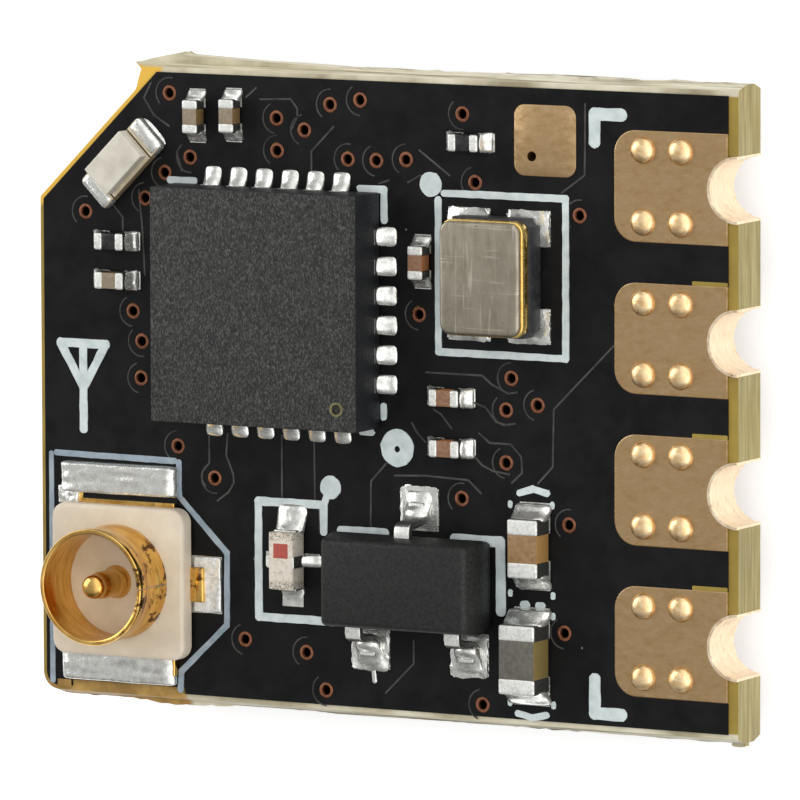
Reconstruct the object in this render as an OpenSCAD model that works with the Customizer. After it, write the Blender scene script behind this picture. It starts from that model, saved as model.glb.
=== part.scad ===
// Nano radio receiver: a small circuit board with parts on both faces and four
// half-round solder pads along one edge. It lies on its back: +Z is the front
// (radio) face, +X points to the edge with the pads, z = 0 is the lowest face.
// All sizes are in millimetres.

/* [Board] */
// Width of the board, left edge to pad edge
board_w = 13.43; // [13.25:0.05:18]
// Height of the board's faces, bottom edge to top edge
board_h = 10.8; // [10.5:0.05:14]
// Thickness of the laminate
board_t = 0.8; // [0.6:0.1:1.6]
// Leg of the cut at the upper left corner
corner_cut = 2.3; // [1.9:0.05:2.6]
// Radius of the lower left corner
corner_r = 0.3; // [0.2:0.05:0.5]
// How far the broken score stands out along the long edges
score_lip = 0.09; // [0.05:0.01:0.2]
// Thickness of the web that was left between the two scores
score_web = 0.3; // [0.2:0.05:0.4]
// Thickness of the solder mask
mask_t = 0.03; // [0.02:0.005:0.06]
// Bare strip between the mask and the board's edges
mask_in = 0.08; // [0.04:0.01:0.12]
// Bare strip between the mask and the pad edge
mask_in_pads = 0.18; // [0.1:0.01:0.2]
// Thickness of the gold-plated copper
copper_t = 0.04; // [0.035:0.005:0.07]
// Thickness of the printed legend
legend_t = 0.012; // [0.008:0.002:0.02]
// Width of a legend line
legend_w = 0.12; // [0.08:0.01:0.15]
// Strip that the legend keeps clear along the mask's edge
legend_gap = 0.04; // [0.02:0.01:0.08]
// Radius of the dots beside the chips' first terminals
legend_dot_r = 0.2; // [0.15:0.01:0.22]
// Gap between the legend lines and the lands that they frame
legend_off = 0.05; // [0.03:0.01:0.08]

/* [Edge pads] */
// Distance between edge pads
pad_pitch = 2.54; // [2.3:0.01:2.6]
// How far the row of pads lies below the board's middle
pad_drop = 0.05; // [0:0.01:0.1]
// Length of a front pad, in from the mask's edge
pad_l = 2.12; // [1.8:0.01:2.3]
// Length of a back pad, in from the mask's edge
pad_back_l = 1.5; // [1.2:0.05:1.9]
// Width of a pad along the edge
pad_w = 1.87; // [1.6:0.01:2.05]
// Radius of a pad's inner corners
pad_r = 0.4; // [0.2:0.05:0.6]
// Radius of the half-round notch
notch_r = 0.52; // [0.4:0.01:0.6]
// Thickness of the notch's plating
plating_t = 0.04; // [0.03:0.005:0.06]
// Distance between a pad's domes, across the edge
dome_dx = 0.705; // [0.6:0.01:0.8]
// Distance between a pad's domes, along the edge
dome_dy = 1.2; // [1:0.01:1.3]
// Distance of the outer domes from the board's edge
dome_in = 1.055; // [0.95:0.005:1.2]
// Radius of a dome
dome_r = 0.225; // [0.18:0.005:0.25]
// Height of a dome
dome_h = 0.12; // [0.05:0.01:0.15]
// Radius of the plugged vias under the domes
post_r = 0.15; // [0.1:0.01:0.18]
// Line width of the two pad brackets
bracket_w = 0.22; // [0.15:0.01:0.25]
// Leg of the two pad brackets
bracket_l = 0.7; // [0.5:0.05:0.8]
// Gap between the brackets and the pads
bracket_gap = 0.12; // [0.08:0.01:0.15]

/* [Boot pad] */
// Boot pad's middle from the left and top edges, as shares of the board
boot_at = [0.7319, 0.0884]; // [0:0.0001:1]
// Size of the boot pad
boot_size = [1.17, 1.2]; // [0.9:0.01:1.3]
// Radius of the boot pad's corners
boot_r = 0.2; // [0.1:0.01:0.3]
// Hole in the boot pad, from its middle
boot_hole_at = [-0.25, -0.27]; // [-0.3:0.01:0.3]

/* [Vias] */
// Outer radius of a via barrel
via_r = 0.14; // [0.12:0.005:0.16]
// Radius of a via's hole
via_hole_r = 0.085; // [0.06:0.005:0.1]

/* [Soldering] */
// Gap that the solder fills between a part and the mask
solder_gap = 0.02; // [0.01:0.005:0.04]
// Thickness of a solder fillet's outer rim above the board
solder_rim = 0.05; // [0.04:0.005:0.06]

/* [Radio chip] */
// Chip's middle from the left and top edges, as shares of the board
radio_at = [0.3492, 0.3653]; // [0:0.0001:1]
// Side of the square body
radio_w = 4; // [3.6:0.05:4.2]
// Thickness of the body
radio_t = 0.86; // [0.6:0.01:1]
// Terminals on each side
radio_n = 6; // [4:1:6]
// Reach of the solder past the body
radio_reach = 0.29; // [0.2:0.01:0.35]
// Radius of the mark for the first terminal
radio_dot_r = 0.11; // [0.08:0.01:0.15]
// Depth of the mark for the first terminal
radio_dot_d = 0.02; // [0.01:0.005:0.05]

/* [Terminals of both large chips] */
// Distance between terminals
lead_pitch = 0.5; // [0.45:0.01:0.52]
// Width of a terminal
lead_w = 0.25; // [0.2:0.01:0.3]
// Length of a terminal
lead_l = 0.4; // [0.3:0.01:0.5]
// Thickness of a terminal
lead_t = 0.2; // [0.15:0.01:0.25]
// Gap between the terminals and the land under the body's middle
lead_clear = 0.3; // [0.2:0.01:0.4]

/* [Oscillator] */
// Oscillator's middle from the left and top edges, as shares of the board
osc_at = [0.6668, 0.3009]; // [0:0.0001:1]
// Width and height of the oscillator and of the crystal on the back
osc_size = [1.6, 2]; // [1.4:0.01:2.2]
// Thickness of the ceramic base
osc_base_t = 0.4; // [0.3:0.01:0.6]
// Thickness of the seal ring
osc_ring_t = 0.2; // [0.04:0.005:0.25]
// Thickness of the lid
osc_lid_t = 0.12; // [0.04:0.005:0.15]
// Step from the base's edge in to the ring
osc_ring_in = 0.03; // [0.02:0.005:0.08]
// Width of the ring that shows around the lid
osc_ring_w = 0.07; // [0.04:0.005:0.12]
// Radius of the ring's corners
osc_r = 0.2; // [0.15:0.01:0.3]
// Radius of the quarter-round corners of the base
osc_notch_r = 0.13; // [0.08:0.01:0.16]
// Size of a corner land
osc_land = [0.8, 0.6]; // [0.5:0.01:0.85]
// How far the lands stand out past the base
osc_land_out = [0.17, 0.12]; // [0.05:0.01:0.2]

/* [Antenna jack] */
// Jack's middle, from the left and bottom edges
jack_at = [1.705, 1.99]; // [1.55:0.005:3]
// Side of the square base
jack_w = 2.6; // [2.4:0.05:2.7]
// Thickness of the base
jack_base_t = 0.35; // [0.3:0.01:0.45]
// Radius of the base's corners
jack_base_r = 0.25; // [0.15:0.01:0.4]
// Outer radius of the shell
jack_shell_r = 1; // [0.9:0.01:1.05]
// Wall of the shell
jack_shell_t = 0.08; // [0.06:0.005:0.12]
// Height of the whole jack
jack_h = 1.25; // [1:0.01:1.5]
// Height of the shell's band above its groove
jack_band_h = 0.36; // [0.3:0.01:0.45]
// Height of the groove
jack_groove_h = 0.22; // [0.1:0.01:0.25]
// Depth of the groove
jack_groove_d = 0.035; // [0.02:0.005:0.05]
// Width of the seam in the shell
jack_seam_w = 0.03; // [0.02:0.005:0.05]
// Radius of the centre pin
jack_pin_r = 0.235; // [0.18:0.005:0.27]
// Height of the centre pin above the board's land
jack_pin_h = 1.24; // [0.9:0.01:1.25]
// Radius of the pin's foot in the base
jack_foot_r = 0.36; // [0.3:0.01:0.45]
// Thickness of the tabs
jack_tab_t = 0.12; // [0.1:0.01:0.15]
// Width of the two ground tabs
jack_tab_w = 2; // [1.6:0.05:2.2]
// Reach of the ground tabs past the base
jack_tab_out = 0.3; // [0.2:0.01:0.4]
// Width of the ground lands
jack_land_w = 2.24; // [2.2:0.01:2.4]
// Reach of the ground lands past the base
jack_land_out = 0.5; // [0.42:0.01:0.6]
// Reach of the upper ground land past the base
jack_land_out_top = 0.7; // [0.6:0.01:0.75]
// Width of the signal tab
jack_signal_w = 0.6; // [0.4:0.01:0.7]
// Reach of the signal tab past the base
jack_signal_out = 0.25; // [0.15:0.01:0.3]
// Width of the signal land
jack_signal_land_w = 0.98; // [0.75:0.01:1.1]
// Reach of the signal land past the base
jack_signal_land_out = 0.56; // [0.4:0.01:0.6]

/* [Regulator] */
// Regulator's middle from the left and bottom edges, as shares of the board
reg_at = [0.5529, 0.2148]; // [0:0.0001:1]
// Width and depth of the moulded body at its parting line
reg_size = [2.9, 1.6]; // [1.4:0.05:3]
// Thickness of the body
reg_t = 0.98; // [0.8:0.01:1.1]
// Slope of the body's sides, in from the parting line
reg_draft = 0.07; // [0.03:0.01:0.1]
// Distance between neighbouring lead places
reg_pitch = 0.95; // [0.85:0.01:1]
// Width of a lead
reg_lead_w = 0.32; // [0.25:0.01:0.5]
// Thickness of a lead
reg_lead_t = 0.13; // [0.1:0.01:0.18]
// Reach of a lead past the body
reg_lead_out = 0.55; // [0.45:0.01:0.6]
// Length of a lead's foot
reg_foot_l = 0.3; // [0.2:0.01:0.35]
// Size of a lead's land
reg_land = [0.72, 0.72]; // [0.5:0.01:0.8]

/* [Filter] */
// Filter's middle from the left and bottom edges, as shares of the board
filter_at = [0.369, 0.2352]; // [0:0.0001:1]
// Width, length and thickness of the filter's body
filter_size = [0.47, 0.98, 0.4]; // [0.3:0.01:1.1]
// Size of the red mark
filter_mark = [0.28, 0.25]; // [0.15:0.01:0.32]
// Distance of the mark from the body's upper end
filter_mark_in = 0.19; // [0.1:0.01:0.25]
// Thickness of a terminal
filter_term_t = 0.03; // [0.02:0.005:0.05]
// Width of a side terminal
filter_side_w = 0.2; // [0.15:0.01:0.25]
// Reach of an end land and of a side land
filter_reach = [0.3, 0.26]; // [0.2:0.01:0.35]

/* [Status lamp] */
// Lamp's middle, along the corner cut from its middle
lamp_along = 0.06; // [0:0.01:0.25]
// Lamp's middle, in from the corner cut
lamp_in = 0.77; // [0.5:0.01:0.8]
// Length and width of the lamp's base
lamp_size = [1.6, 0.7]; // [0.6:0.01:1.7]
// Thickness of the base
lamp_base_t = 0.2; // [0.15:0.01:0.3]
// Length and width of the lens
lamp_lens = [0.98, 0.66]; // [0.5:0.01:1.1]
// Thickness of the lens
lamp_lens_t = 0.26; // [0.2:0.01:0.4]
// Length of an end terminal
lamp_term_l = 0.28; // [0.2:0.01:0.3]
// Reach of a land past the lamp
lamp_reach = 0.1; // [0.05:0.01:0.15]

/* [Chip places from the left and top edges, as shares of the board] */
// Middle of the first capacitor at the top edge
capacitor_1_at = [0.2338, 0.0736]; // [0:0.0001:1]
// Middle of the second capacitor at the top edge
capacitor_2_at = [0.2867, 0.07]; // [0:0.0001:1]
// Middle of the capacitor at the left edge
capacitor_3_at = [0.1139, 0.3389]; // [0:0.0001:1]
// Middle of the capacitor beside the oscillator
capacitor_4_at = [0.5581, 0.2856]; // [0:0.0001:1]
// Middle of the upper capacitor below the oscillator
capacitor_5_at = [0.5979, 0.4945]; // [0:0.0001:1]
// Middle of the lower capacitor below the oscillator
capacitor_6_at = [0.5983, 0.5737]; // [0:0.0001:1]
// Middle of the resistor at the left edge
resistor_1_at = [0.1139, 0.2768]; // [0:0.0001:1]
// Middle of the resistor beside the boot pad
resistor_2_at = [0.6264, 0.0954]; // [0:0.0001:1]

/* [Chip places from the left and bottom edges, as shares of the board] */
// Middle of the regulator's input capacitor
capacitor_7_at = [0.7163, 0.2801]; // [0:0.0001:1]
// Middle of the bulk capacitor
capacitor_8_at = [0.7118, 0.1074]; // [0:0.0001:1]

/* [Chip capacitors and resistors] */
// Length, width and height of the smallest chips
small_chip = [0.6, 0.31, 0.3]; // [0.25:0.01:0.65]
// Length, width and height of the middle-size chips
mid_chip = [1, 0.58, 0.45]; // [0.4:0.01:1.1]
// Length, width and height of the bulk capacitor
bulk_chip = [1.18, 0.68, 0.55]; // [0.5:0.01:1.2]
// Length of a small chip's end cap
small_cap_l = 0.16; // [0.1:0.01:0.2]
// Length of a larger chip's end cap
large_cap_l = 0.27; // [0.2:0.01:0.3]
// Thickness of an end cap around the body
cap_t = 0.01; // [0.005:0.005:0.02]
// Reach of the solder past a small chip
small_reach = 0.16; // [0.1:0.01:0.18]
// Reach of the solder past a larger chip
large_reach = 0.24; // [0.15:0.01:0.28]

/* [Microcontroller] */
// Microcontroller's middle from the left and bottom edges, as shares of the board
mcu_at = [0.5391, 0.4931]; // [0:0.0001:1]
// Side of the square body
mcu_w = 5; // [4.6:0.05:5.2]
// Thickness of the body, on which the receiver lies
mcu_t = 0.85; // [0.75:0.01:1]
// Terminals on each side
mcu_n = 8; // [5:1:8]
// Reach of the solder past the body
mcu_reach = 0.28; // [0.2:0.01:0.35]

/* [Crystal] */
// Crystal's middle from the left and top edges, as shares of the board
crystal_at = [0.1668, 0.4098]; // [0:0.0001:1]

/* [Back chips, as shares of the board] */
// Capacitors along the top edge, from the left edge
back_row_x = [0.3902, 0.5019, 0.6135, 0.7253]; // [0:0.0001:1]
// Line of those capacitors, from the top edge
back_row_y = 0.1273; // [0:0.0001:1]
// Capacitors below the crystal, from the left edge
back_pair_x = [0.1743, 0.2487]; // [0:0.0001:1]
// Line of those capacitors, from the bottom edge
back_pair_y = 0.3356; // [0:0.0001:1]
// Resistors along the bottom edge, from the left edge
back_resistor_x = [0.4051, 0.4944, 0.5838, 0.6732]; // [0:0.0001:1]
// Line of those resistors, from the bottom edge
back_resistor_y = 0.1134; // [0:0.0001:1]

/* [Hidden] */
$fn = 48;

// Levels
seat = mask_t + solder_gap;
z_back = mcu_t + seat;
z_front = z_back + board_t;

// Board edges
x_left = -board_w / 2;
x_right = board_w / 2;
y_top = board_h / 2;
y_bottom = -board_h / 2;
pad_count = 4;

// Places given as shares of the board, from the left and top or left and bottom edges
function from_top(p) = [x_left + p.x * board_w, y_top - p.y * board_h];
function from_bottom(p) = [x_left + p.x * board_w, y_bottom + p.y * board_h];

radio_c = from_top(radio_at);
osc_c = from_top(osc_at);
boot_c = from_top(boot_at);
jack_c = [x_left, y_bottom] + jack_at;
reg_c = from_bottom(reg_at);
filter_c = from_bottom(filter_at);
mcu_c = from_bottom(mcu_at);
crystal_c = from_top(crystal_at);
lamp_c = [
  x_left + corner_cut / 2 + (lamp_along + lamp_in) / sqrt(2),
  y_top - corner_cut / 2 + (lamp_along - lamp_in) / sqrt(2)
];

function pad_y(i) = ((pad_count - 1) / 2 - i) * pad_pitch - pad_drop;

// Each chip: its middle, its turn, its size, its cap length and its solder reach
function small(at, turn) = [at, turn, small_chip, small_cap_l, small_reach];
function large(at, turn, size) = [at, turn, size, large_cap_l, large_reach];
front_chips = [
  small(from_top(capacitor_1_at), 90),
  small(from_top(capacitor_2_at), 90),
  small(from_top(capacitor_3_at), 0),
  small(from_top(capacitor_4_at), 90),
  small(from_top(capacitor_5_at), 0),
  small(from_top(capacitor_6_at), 0),
  large(from_bottom(capacitor_7_at), 90, mid_chip),
  large(from_bottom(capacitor_8_at), 90, bulk_chip),
  small(from_top(resistor_1_at), 0),
  small(from_top(resistor_2_at), 0)
];
back_capacitor_list = [
  for (x = back_row_x) large(from_top([x, back_row_y]), 90, mid_chip),
  for (x = back_pair_x) large(from_bottom([x, back_pair_y]), 90, mid_chip)
];
back_resistor_list = [
  for (x = back_resistor_x) small(from_bottom([x, back_resistor_y]), 90)
];
back_chips = concat(back_capacitor_list, back_resistor_list);

// Via places: shares of the board, half sides of the radio chip, or gaps to the jack's land
radio_half = radio_w / 2;
jack_half = jack_w / 2;
jack_via_gap = 2.5 * via_r;
vias = concat(
  [for (p = [[0.1924, 0.0398], [0.2223, 0.1398], [0.185, 0.1657], [0.0681, 0.2334],
             [0.156, 0.2074], [0.4255, 0.0473], [0.4687, 0.038], [0.3883, 0.0889],
             [0.6147, 0.0528], [0.6325, 0.1583], [0.7799, 0.2019], [0.6757, 0.5926],
             [0.6832, 0.4602], [0.6757, 0.5102], [0.7204, 0.5]]) from_top(p)],
  [for (p = [[-0.005, 1.31], [-0.008, 1.584], [0.683, 1.265], [0.958, 1.265],
             [1.243, 1.285], [1.36, -0.015], [-1.425, -0.12], [-1.34, -0.375],
             [-1.35, -0.69]]) radio_c + p * radio_half],
  [jack_c + [jack_land_w / 2 - 0.8 * via_r, jack_half + jack_land_out_top + jack_via_gap]],
  [for (p = [[0.2558, 0.3547], [0.299, 0.1018], [0.3883, 0.088], [0.4166, 0.0305],
             [0.6415, 0.0259], [0.6124, 0.3473], [0.7643, 0.3167], [0.7577, 0.1472]])
    from_bottom(p)]
);

// Plain shapes

module at(p, turn = 0) {
  translate([p.x, p.y, 0]) rotate(turn) children();
}

module rounded_rect(size, r) {
  square([size.x - 2 * r, size.y], center = true);
  square([size.x, size.y - 2 * r], center = true);
  for (sx = [-1, 1], sy = [-1, 1])
    translate([sx * (size.x / 2 - r), sy * (size.y / 2 - r)]) circle(r);
}

module stroke(a, b, w = legend_w) {
  d = b - a;
  translate(a) rotate(atan2(d.y, d.x)) translate([-w / 2, -w / 2]) square([norm(d) + w, w]);
}

module path(points) {
  for (i = [1:len(points) - 1]) stroke(points[i - 1], points[i]);
}

module frame(size) {
  x = size.x / 2;
  y = size.y / 2;
  path([[-x, -y], [-x, y], [x, y], [x, -y], [-x, -y]]);
}

// A block that stands on z = 0, centred in plan
module block(size) {
  translate([-size.x / 2, -size.y / 2, 0]) cube(size);
}

// Extrudes a profile drawn as (outward, up) over a width across it
module profile(points, w) {
  rotate([90, 0, 90]) linear_extrude(w, center = true) polygon(points);
}

module on_front() {
  translate([0, 0, z_front]) children();
}

module on_back() {
  translate([0, 0, z_back]) mirror([0, 0, 1]) children();
}

// A solder joint on its land: it lies under a terminal and climbs the end at y = 0
module joint(under, reach, w, climb) {
  profile([
    [-under, 0], [reach, 0], [reach, solder_rim], [0.5 * reach, seat + 0.25 * climb],
    [0.15 * reach, seat + 0.65 * climb], [0, seat + climb], [0, seat], [-under, seat]
  ], w);
}

module land(under, reach, w) {
  translate([-w / 2, -under]) square([w, under + reach]);
}

// Board

// The board seen from the front, with its straight edges pulled in
module board_outline(in, in_pads, r) {
  slant = in * (sqrt(2) - 1);
  left = x_left + in;
  bottom = y_bottom + in;
  polygon([
    [left + r, bottom], [x_right - in_pads, bottom], [x_right - in_pads, y_top - in],
    [x_left + corner_cut + slant, y_top - in], [left, y_top - corner_cut - slant],
    [left, bottom + r], [left + r, bottom + r]
  ]);
  translate([left + r, bottom + r]) circle(r);
}

// The board's plan out to the score lips
module lip_outline() {
  bottom = y_bottom - score_lip;
  top = y_top + score_lip;
  polygon([
    [x_left + corner_r, bottom], [x_right, bottom], [x_right, top],
    [x_left + corner_cut + score_lip, top], [x_left, y_top - corner_cut],
    [x_left, bottom + corner_r], [x_left + corner_r, bottom + corner_r]
  ]);
  translate([x_left + corner_r, bottom + corner_r]) circle(corner_r);
}

module scored_section() {
  groove = (board_t - score_web) / 2;
  profile([
    [y_bottom, z_back], [y_bottom - score_lip, z_back + groove],
    [y_bottom - score_lip, z_front - groove], [y_bottom, z_front],
    [y_top, z_front], [y_top + score_lip, z_front - groove],
    [y_top + score_lip, z_back + groove], [y_top, z_back]
  ], board_w);
}

module dome_places(i) {
  for (ix = [0, 1], sy = [-1, 1])
    translate([x_right - dome_in - ix * dome_dx, pad_y(i) + sy * dome_dy / 2, 0]) children();
}

module board_laminate() color("darkkhaki") {
  difference() {
    intersection() {
      scored_section();
      translate([0, 0, z_back]) linear_extrude(board_t) lip_outline();
    }
    translate([0, 0, z_back - board_t]) {
      for (i = [0:pad_count - 1]) {
        translate([x_right, pad_y(i), 0]) cylinder(r = notch_r + plating_t, h = 3 * board_t);
        dome_places(i) cylinder(r = post_r, h = 3 * board_t);
      }
      for (p = vias) at(p) cylinder(r = via_r, h = 3 * board_t);
      at(boot_c + boot_hole_at) cylinder(r = via_r, h = 3 * board_t);
    }
  }
}

module pad_shape(i, l) {
  edge = x_right - mask_in_pads;
  translate([edge, pad_y(i)]) {
    difference() {
      union() {
        translate([-l + pad_r, -pad_w / 2]) square([l - pad_r, pad_w]);
        translate([-l, -pad_w / 2 + pad_r]) square([pad_r, pad_w - 2 * pad_r]);
        for (sy = [-1, 1]) translate([-l + pad_r, sy * (pad_w / 2 - pad_r)]) circle(pad_r);
      }
      translate([mask_in_pads, 0]) circle(notch_r);
    }
  }
}

module dome() {
  sphere_r = (dome_r * dome_r + dome_h * dome_h) / (2 * dome_h);
  intersection() {
    translate([0, 0, dome_h - sphere_r]) sphere(sphere_r);
    cylinder(r = 2 * dome_r, h = 2 * dome_h);
  }
}

module edge_pad(i) color("goldenrod") {
  on_front() {
    linear_extrude(copper_t) pad_shape(i, pad_l);
    translate([0, 0, copper_t]) dome_places(i) dome();
  }
  on_back() linear_extrude(copper_t) pad_shape(i, pad_back_l);
  translate([0, 0, z_back]) {
    dome_places(i) cylinder(r = post_r, h = board_t);
    linear_extrude(board_t) difference() {
      intersection() {
        translate([x_right, pad_y(i)]) circle(notch_r + plating_t);
        translate([x_right - pad_w, pad_y(i) - pad_w / 2]) square([pad_w, pad_w]);
      }
      translate([x_right, pad_y(i)]) circle(notch_r);
    }
  }
}

module boot_pad() color("goldenrod") {
  difference() {
    union() {
      on_front() linear_extrude(copper_t) at(boot_c) rounded_rect(boot_size, boot_r);
      translate([0, 0, z_back]) at(boot_c + boot_hole_at) cylinder(r = via_r, h = board_t);
    }
    translate([0, 0, z_back - board_t])
      at(boot_c + boot_hole_at) cylinder(r = via_hole_r, h = 3 * board_t);
  }
}

// The vias are open on the front and covered by the mask on the back
module via_barrels() color("sienna") {
  for (p = vias) translate([p.x, p.y, z_back]) difference() {
    cylinder(r = via_r, h = board_t + mask_t);
    translate([0, 0, -board_t]) cylinder(r = via_hole_r, h = 3 * board_t);
  }
}

// Chips with terminals around a square body

module qfn_places(w, n) {
  for (s = [0:3]) rotate(90 * s)
    for (i = [0:n - 1]) translate([(i - (n - 1) / 2) * lead_pitch, w / 2, 0]) children();
}

module qfn_terminals(w, n) {
  qfn_places(w, n) translate([-lead_w / 2, -lead_l, seat]) cube([lead_w, lead_l, lead_t]);
}

module qfn_body(w, n, t) {
  difference() {
    translate([0, 0, seat]) block([w, w, t]);
    qfn_terminals(w, n);
  }
}

// Side of the land under the middle of the body
function thermal_w(w) = w - 2 * (lead_l + lead_clear);

module qfn_solder(w, n, reach) {
  qfn_places(w, n) joint(lead_l, reach, lead_w, lead_t);
  block([thermal_w(w), thermal_w(w), seat]);
}

module qfn_lands(w, n, reach) {
  qfn_places(w, n) land(lead_l, reach, lead_w);
  square(thermal_w(w), center = true);
}

module radio_chip_body() color("dimgray") on_front() at(radio_c) difference() {
  qfn_body(radio_w, radio_n, radio_t);
  translate([radio_half - 3.5 * radio_dot_r, 3.5 * radio_dot_r - radio_half, seat + radio_t - radio_dot_d])
    cylinder(r = radio_dot_r, h = radio_t);
}

module radio_chip_terminals() color("silver") on_front() at(radio_c) qfn_terminals(radio_w, radio_n);

module radio_chip_solder() color("gainsboro") on_front() at(radio_c)
  qfn_solder(radio_w, radio_n, radio_reach);

module mcu_body() color("dimgray") on_back() at(mcu_c) qfn_body(mcu_w, mcu_n, mcu_t);

module mcu_terminals() color("silver") on_back() at(mcu_c) qfn_terminals(mcu_w, mcu_n);

module mcu_solder() color("gainsboro") on_back() at(mcu_c) qfn_solder(mcu_w, mcu_n, mcu_reach);

// Oscillator and crystal

module osc_corners() {
  for (sx = [-1, 1], sy = [-1, 1])
    translate([sx * osc_size.x / 2, sy * osc_size.y / 2, 0]) children();
}

module osc_base() {
  difference() {
    translate([0, 0, seat]) block([osc_size.x, osc_size.y, osc_base_t]);
    osc_corners() cylinder(r = osc_notch_r, h = 3 * osc_base_t);
  }
}

module osc_ring_plan(in) {
  rounded_rect(osc_size - 2 * [in, in], osc_r - in);
}

module osc_lid() {
  translate([0, 0, seat + osc_base_t + osc_ring_t])
    linear_extrude(osc_lid_t) osc_ring_plan(osc_ring_in + osc_ring_w);
}

module osc_lands() {
  for (sx = [-1, 1], sy = [-1, 1])
    translate([
      sx * (osc_size.x / 2 + osc_land_out.x - osc_land.x / 2),
      sy * (osc_size.y / 2 + osc_land_out.y - osc_land.y / 2)
    ]) square(osc_land, center = true);
}

// Flat lands with a bead of solder that climbs each corner
module osc_solder() {
  linear_extrude(seat) osc_lands();
  intersection() {
    translate([0, 0, seat]) osc_corners() cylinder(r = osc_notch_r, h = osc_base_t / 2);
    block([osc_size.x, osc_size.y, osc_base_t]);
  }
}

module oscillator_base() color("dimgray") on_front() at(osc_c) osc_base();

module oscillator_seal_ring() color("gold") on_front() at(osc_c)
  translate([0, 0, seat + osc_base_t]) linear_extrude(osc_ring_t) osc_ring_plan(osc_ring_in);

module oscillator_lid() color("darkgray") on_front() at(osc_c) osc_lid();

module oscillator_solder() color("gainsboro") on_front() at(osc_c) osc_solder();

module crystal_base() color("dimgray") on_back() at(crystal_c) osc_base();

module crystal_lid() color("darkgray") on_back() at(crystal_c)
  translate([0, 0, -osc_ring_t]) osc_lid();

module crystal_solder() color("gainsboro") on_back() at(crystal_c) osc_solder();

// Antenna jack

shell_inner_r = jack_shell_r - jack_shell_t;

// The seam faces the board's pad edge
module shell_tube(from_z) {
  top = seat + jack_h;
  groove_top = top - jack_band_h;
  groove_r = jack_shell_r - jack_groove_d;
  difference() {
    rotate_extrude() polygon([
      [shell_inner_r, from_z], [jack_shell_r, from_z], [jack_shell_r, groove_top - jack_groove_h],
      [groove_r, groove_top - 0.75 * jack_groove_h], [groove_r, groove_top - 0.25 * jack_groove_h],
      [jack_shell_r, groove_top], [jack_shell_r, top], [shell_inner_r, top]
    ]);
    translate([0, -jack_seam_w / 2, seat + jack_base_t]) cube([2 * jack_shell_r, jack_seam_w, 2 * jack_h]);
  }
}

module ground_tabs() {
  for (sy = [-1, 1]) mirror([0, sy < 0 ? 1 : 0, 0])
    translate([-jack_tab_w / 2, jack_shell_r - 2 * jack_shell_t, seat])
      cube([jack_tab_w, jack_half + jack_tab_out - jack_shell_r + 2 * jack_shell_t, jack_tab_t]);
}

module shell() {
  shell_tube(seat + jack_tab_t);
  ground_tabs();
}

// The foot is moulded into the base, and the tail runs under the shell
module pin() {
  tail_t = 0.75 * jack_tab_t;
  tip = 0.6 * jack_pin_r;
  translate([0, 0, seat]) {
    rotate_extrude() polygon([
      [0, 0], [jack_foot_r, 0], [jack_pin_r, jack_base_t],
      [jack_pin_r, jack_pin_h - tip],
      [0.8 * jack_pin_r, jack_pin_h - 0.35 * tip], [0.45 * jack_pin_r, jack_pin_h], [0, jack_pin_h]
    ]);
    translate([0, -jack_signal_w / 2, 0]) cube([jack_half + jack_signal_out, jack_signal_w, tail_t]);
  }
}

module antenna_jack_base() color("antiquewhite") on_front() at(jack_c) difference() {
  translate([0, 0, seat]) linear_extrude(jack_base_t) rounded_rect([jack_w, jack_w], jack_base_r);
  shell();
  pin();
}

module antenna_jack_shell() color("gold") on_front() at(jack_c) shell();

module antenna_jack_pin() color("gold") on_front() at(jack_c) pin();

// Lands of the jack: two for the ground and one for the signal
module jack_lands() {
  inner = jack_shell_r - 2 * jack_shell_t;
  translate([-jack_land_w / 2, inner]) square([jack_land_w, jack_half + jack_land_out_top - inner]);
  translate([-jack_land_w / 2, -jack_half - jack_land_out])
    square([jack_land_w, jack_half + jack_land_out - inner]);
  translate([jack_half - jack_signal_out, -jack_signal_land_w / 2])
    square([jack_signal_land_out + jack_signal_out, jack_signal_land_w]);
}

// Solder lies under the tabs and stands beside and past them, up to their top
module antenna_jack_solder() color("gainsboro") on_front() at(jack_c) {
  linear_extrude(seat) jack_lands();
  difference() {
    translate([0, 0, seat]) linear_extrude(jack_tab_t) intersection() {
      jack_lands();
      union() {
        for (sy = [-1, 1]) translate([0, sy * (jack_half + board_h / 2)])
          square([jack_land_w, board_h], center = true);
        translate([jack_half, -jack_w / 2]) square([jack_w, jack_w]);
      }
    }
    shell();
    pin();
  }
}

// Regulator

reg_mid = seat + reg_t / 2;
reg_half_band = reg_lead_t / 2;

// Outline of the moulded body: widest at the band where the leads come out
module reg_section(size, w) {
  half = size / 2;
  profile([
    [-half + reg_draft, seat], [half - reg_draft, seat], [half, reg_mid - reg_half_band],
    [half, reg_mid + reg_half_band], [half - reg_draft, seat + reg_t],
    [-half + reg_draft, seat + reg_t], [-half, reg_mid + reg_half_band],
    [-half, reg_mid - reg_half_band]
  ], w);
}

module regulator_body() color("dimgray") on_front() at(reg_c) intersection() {
  reg_section(reg_size.y, 2 * reg_size.x);
  rotate(90) reg_section(reg_size.x, 2 * reg_size.y);
}

// The single lead is on the upper side, the other two on the lower side
module reg_lead_places() {
  translate([0, reg_size.y / 2, 0]) children();
  for (sx = [-1, 1]) translate([sx * reg_pitch, -reg_size.y / 2, 0]) rotate(180) children();
}

module regulator_leads() color("silver") on_front() at(reg_c) reg_lead_places() {
  knee = reg_lead_out - reg_foot_l;
  profile([
    [0, reg_mid - reg_half_band], [knee - reg_lead_t, reg_mid - reg_half_band],
    [knee, seat], [reg_lead_out, seat], [reg_lead_out, seat + reg_lead_t],
    [knee + 0.75 * reg_lead_t, seat + reg_lead_t], [knee - 0.25 * reg_lead_t, reg_mid + reg_half_band],
    [0, reg_mid + reg_half_band]
  ], reg_lead_w);
}

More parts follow.
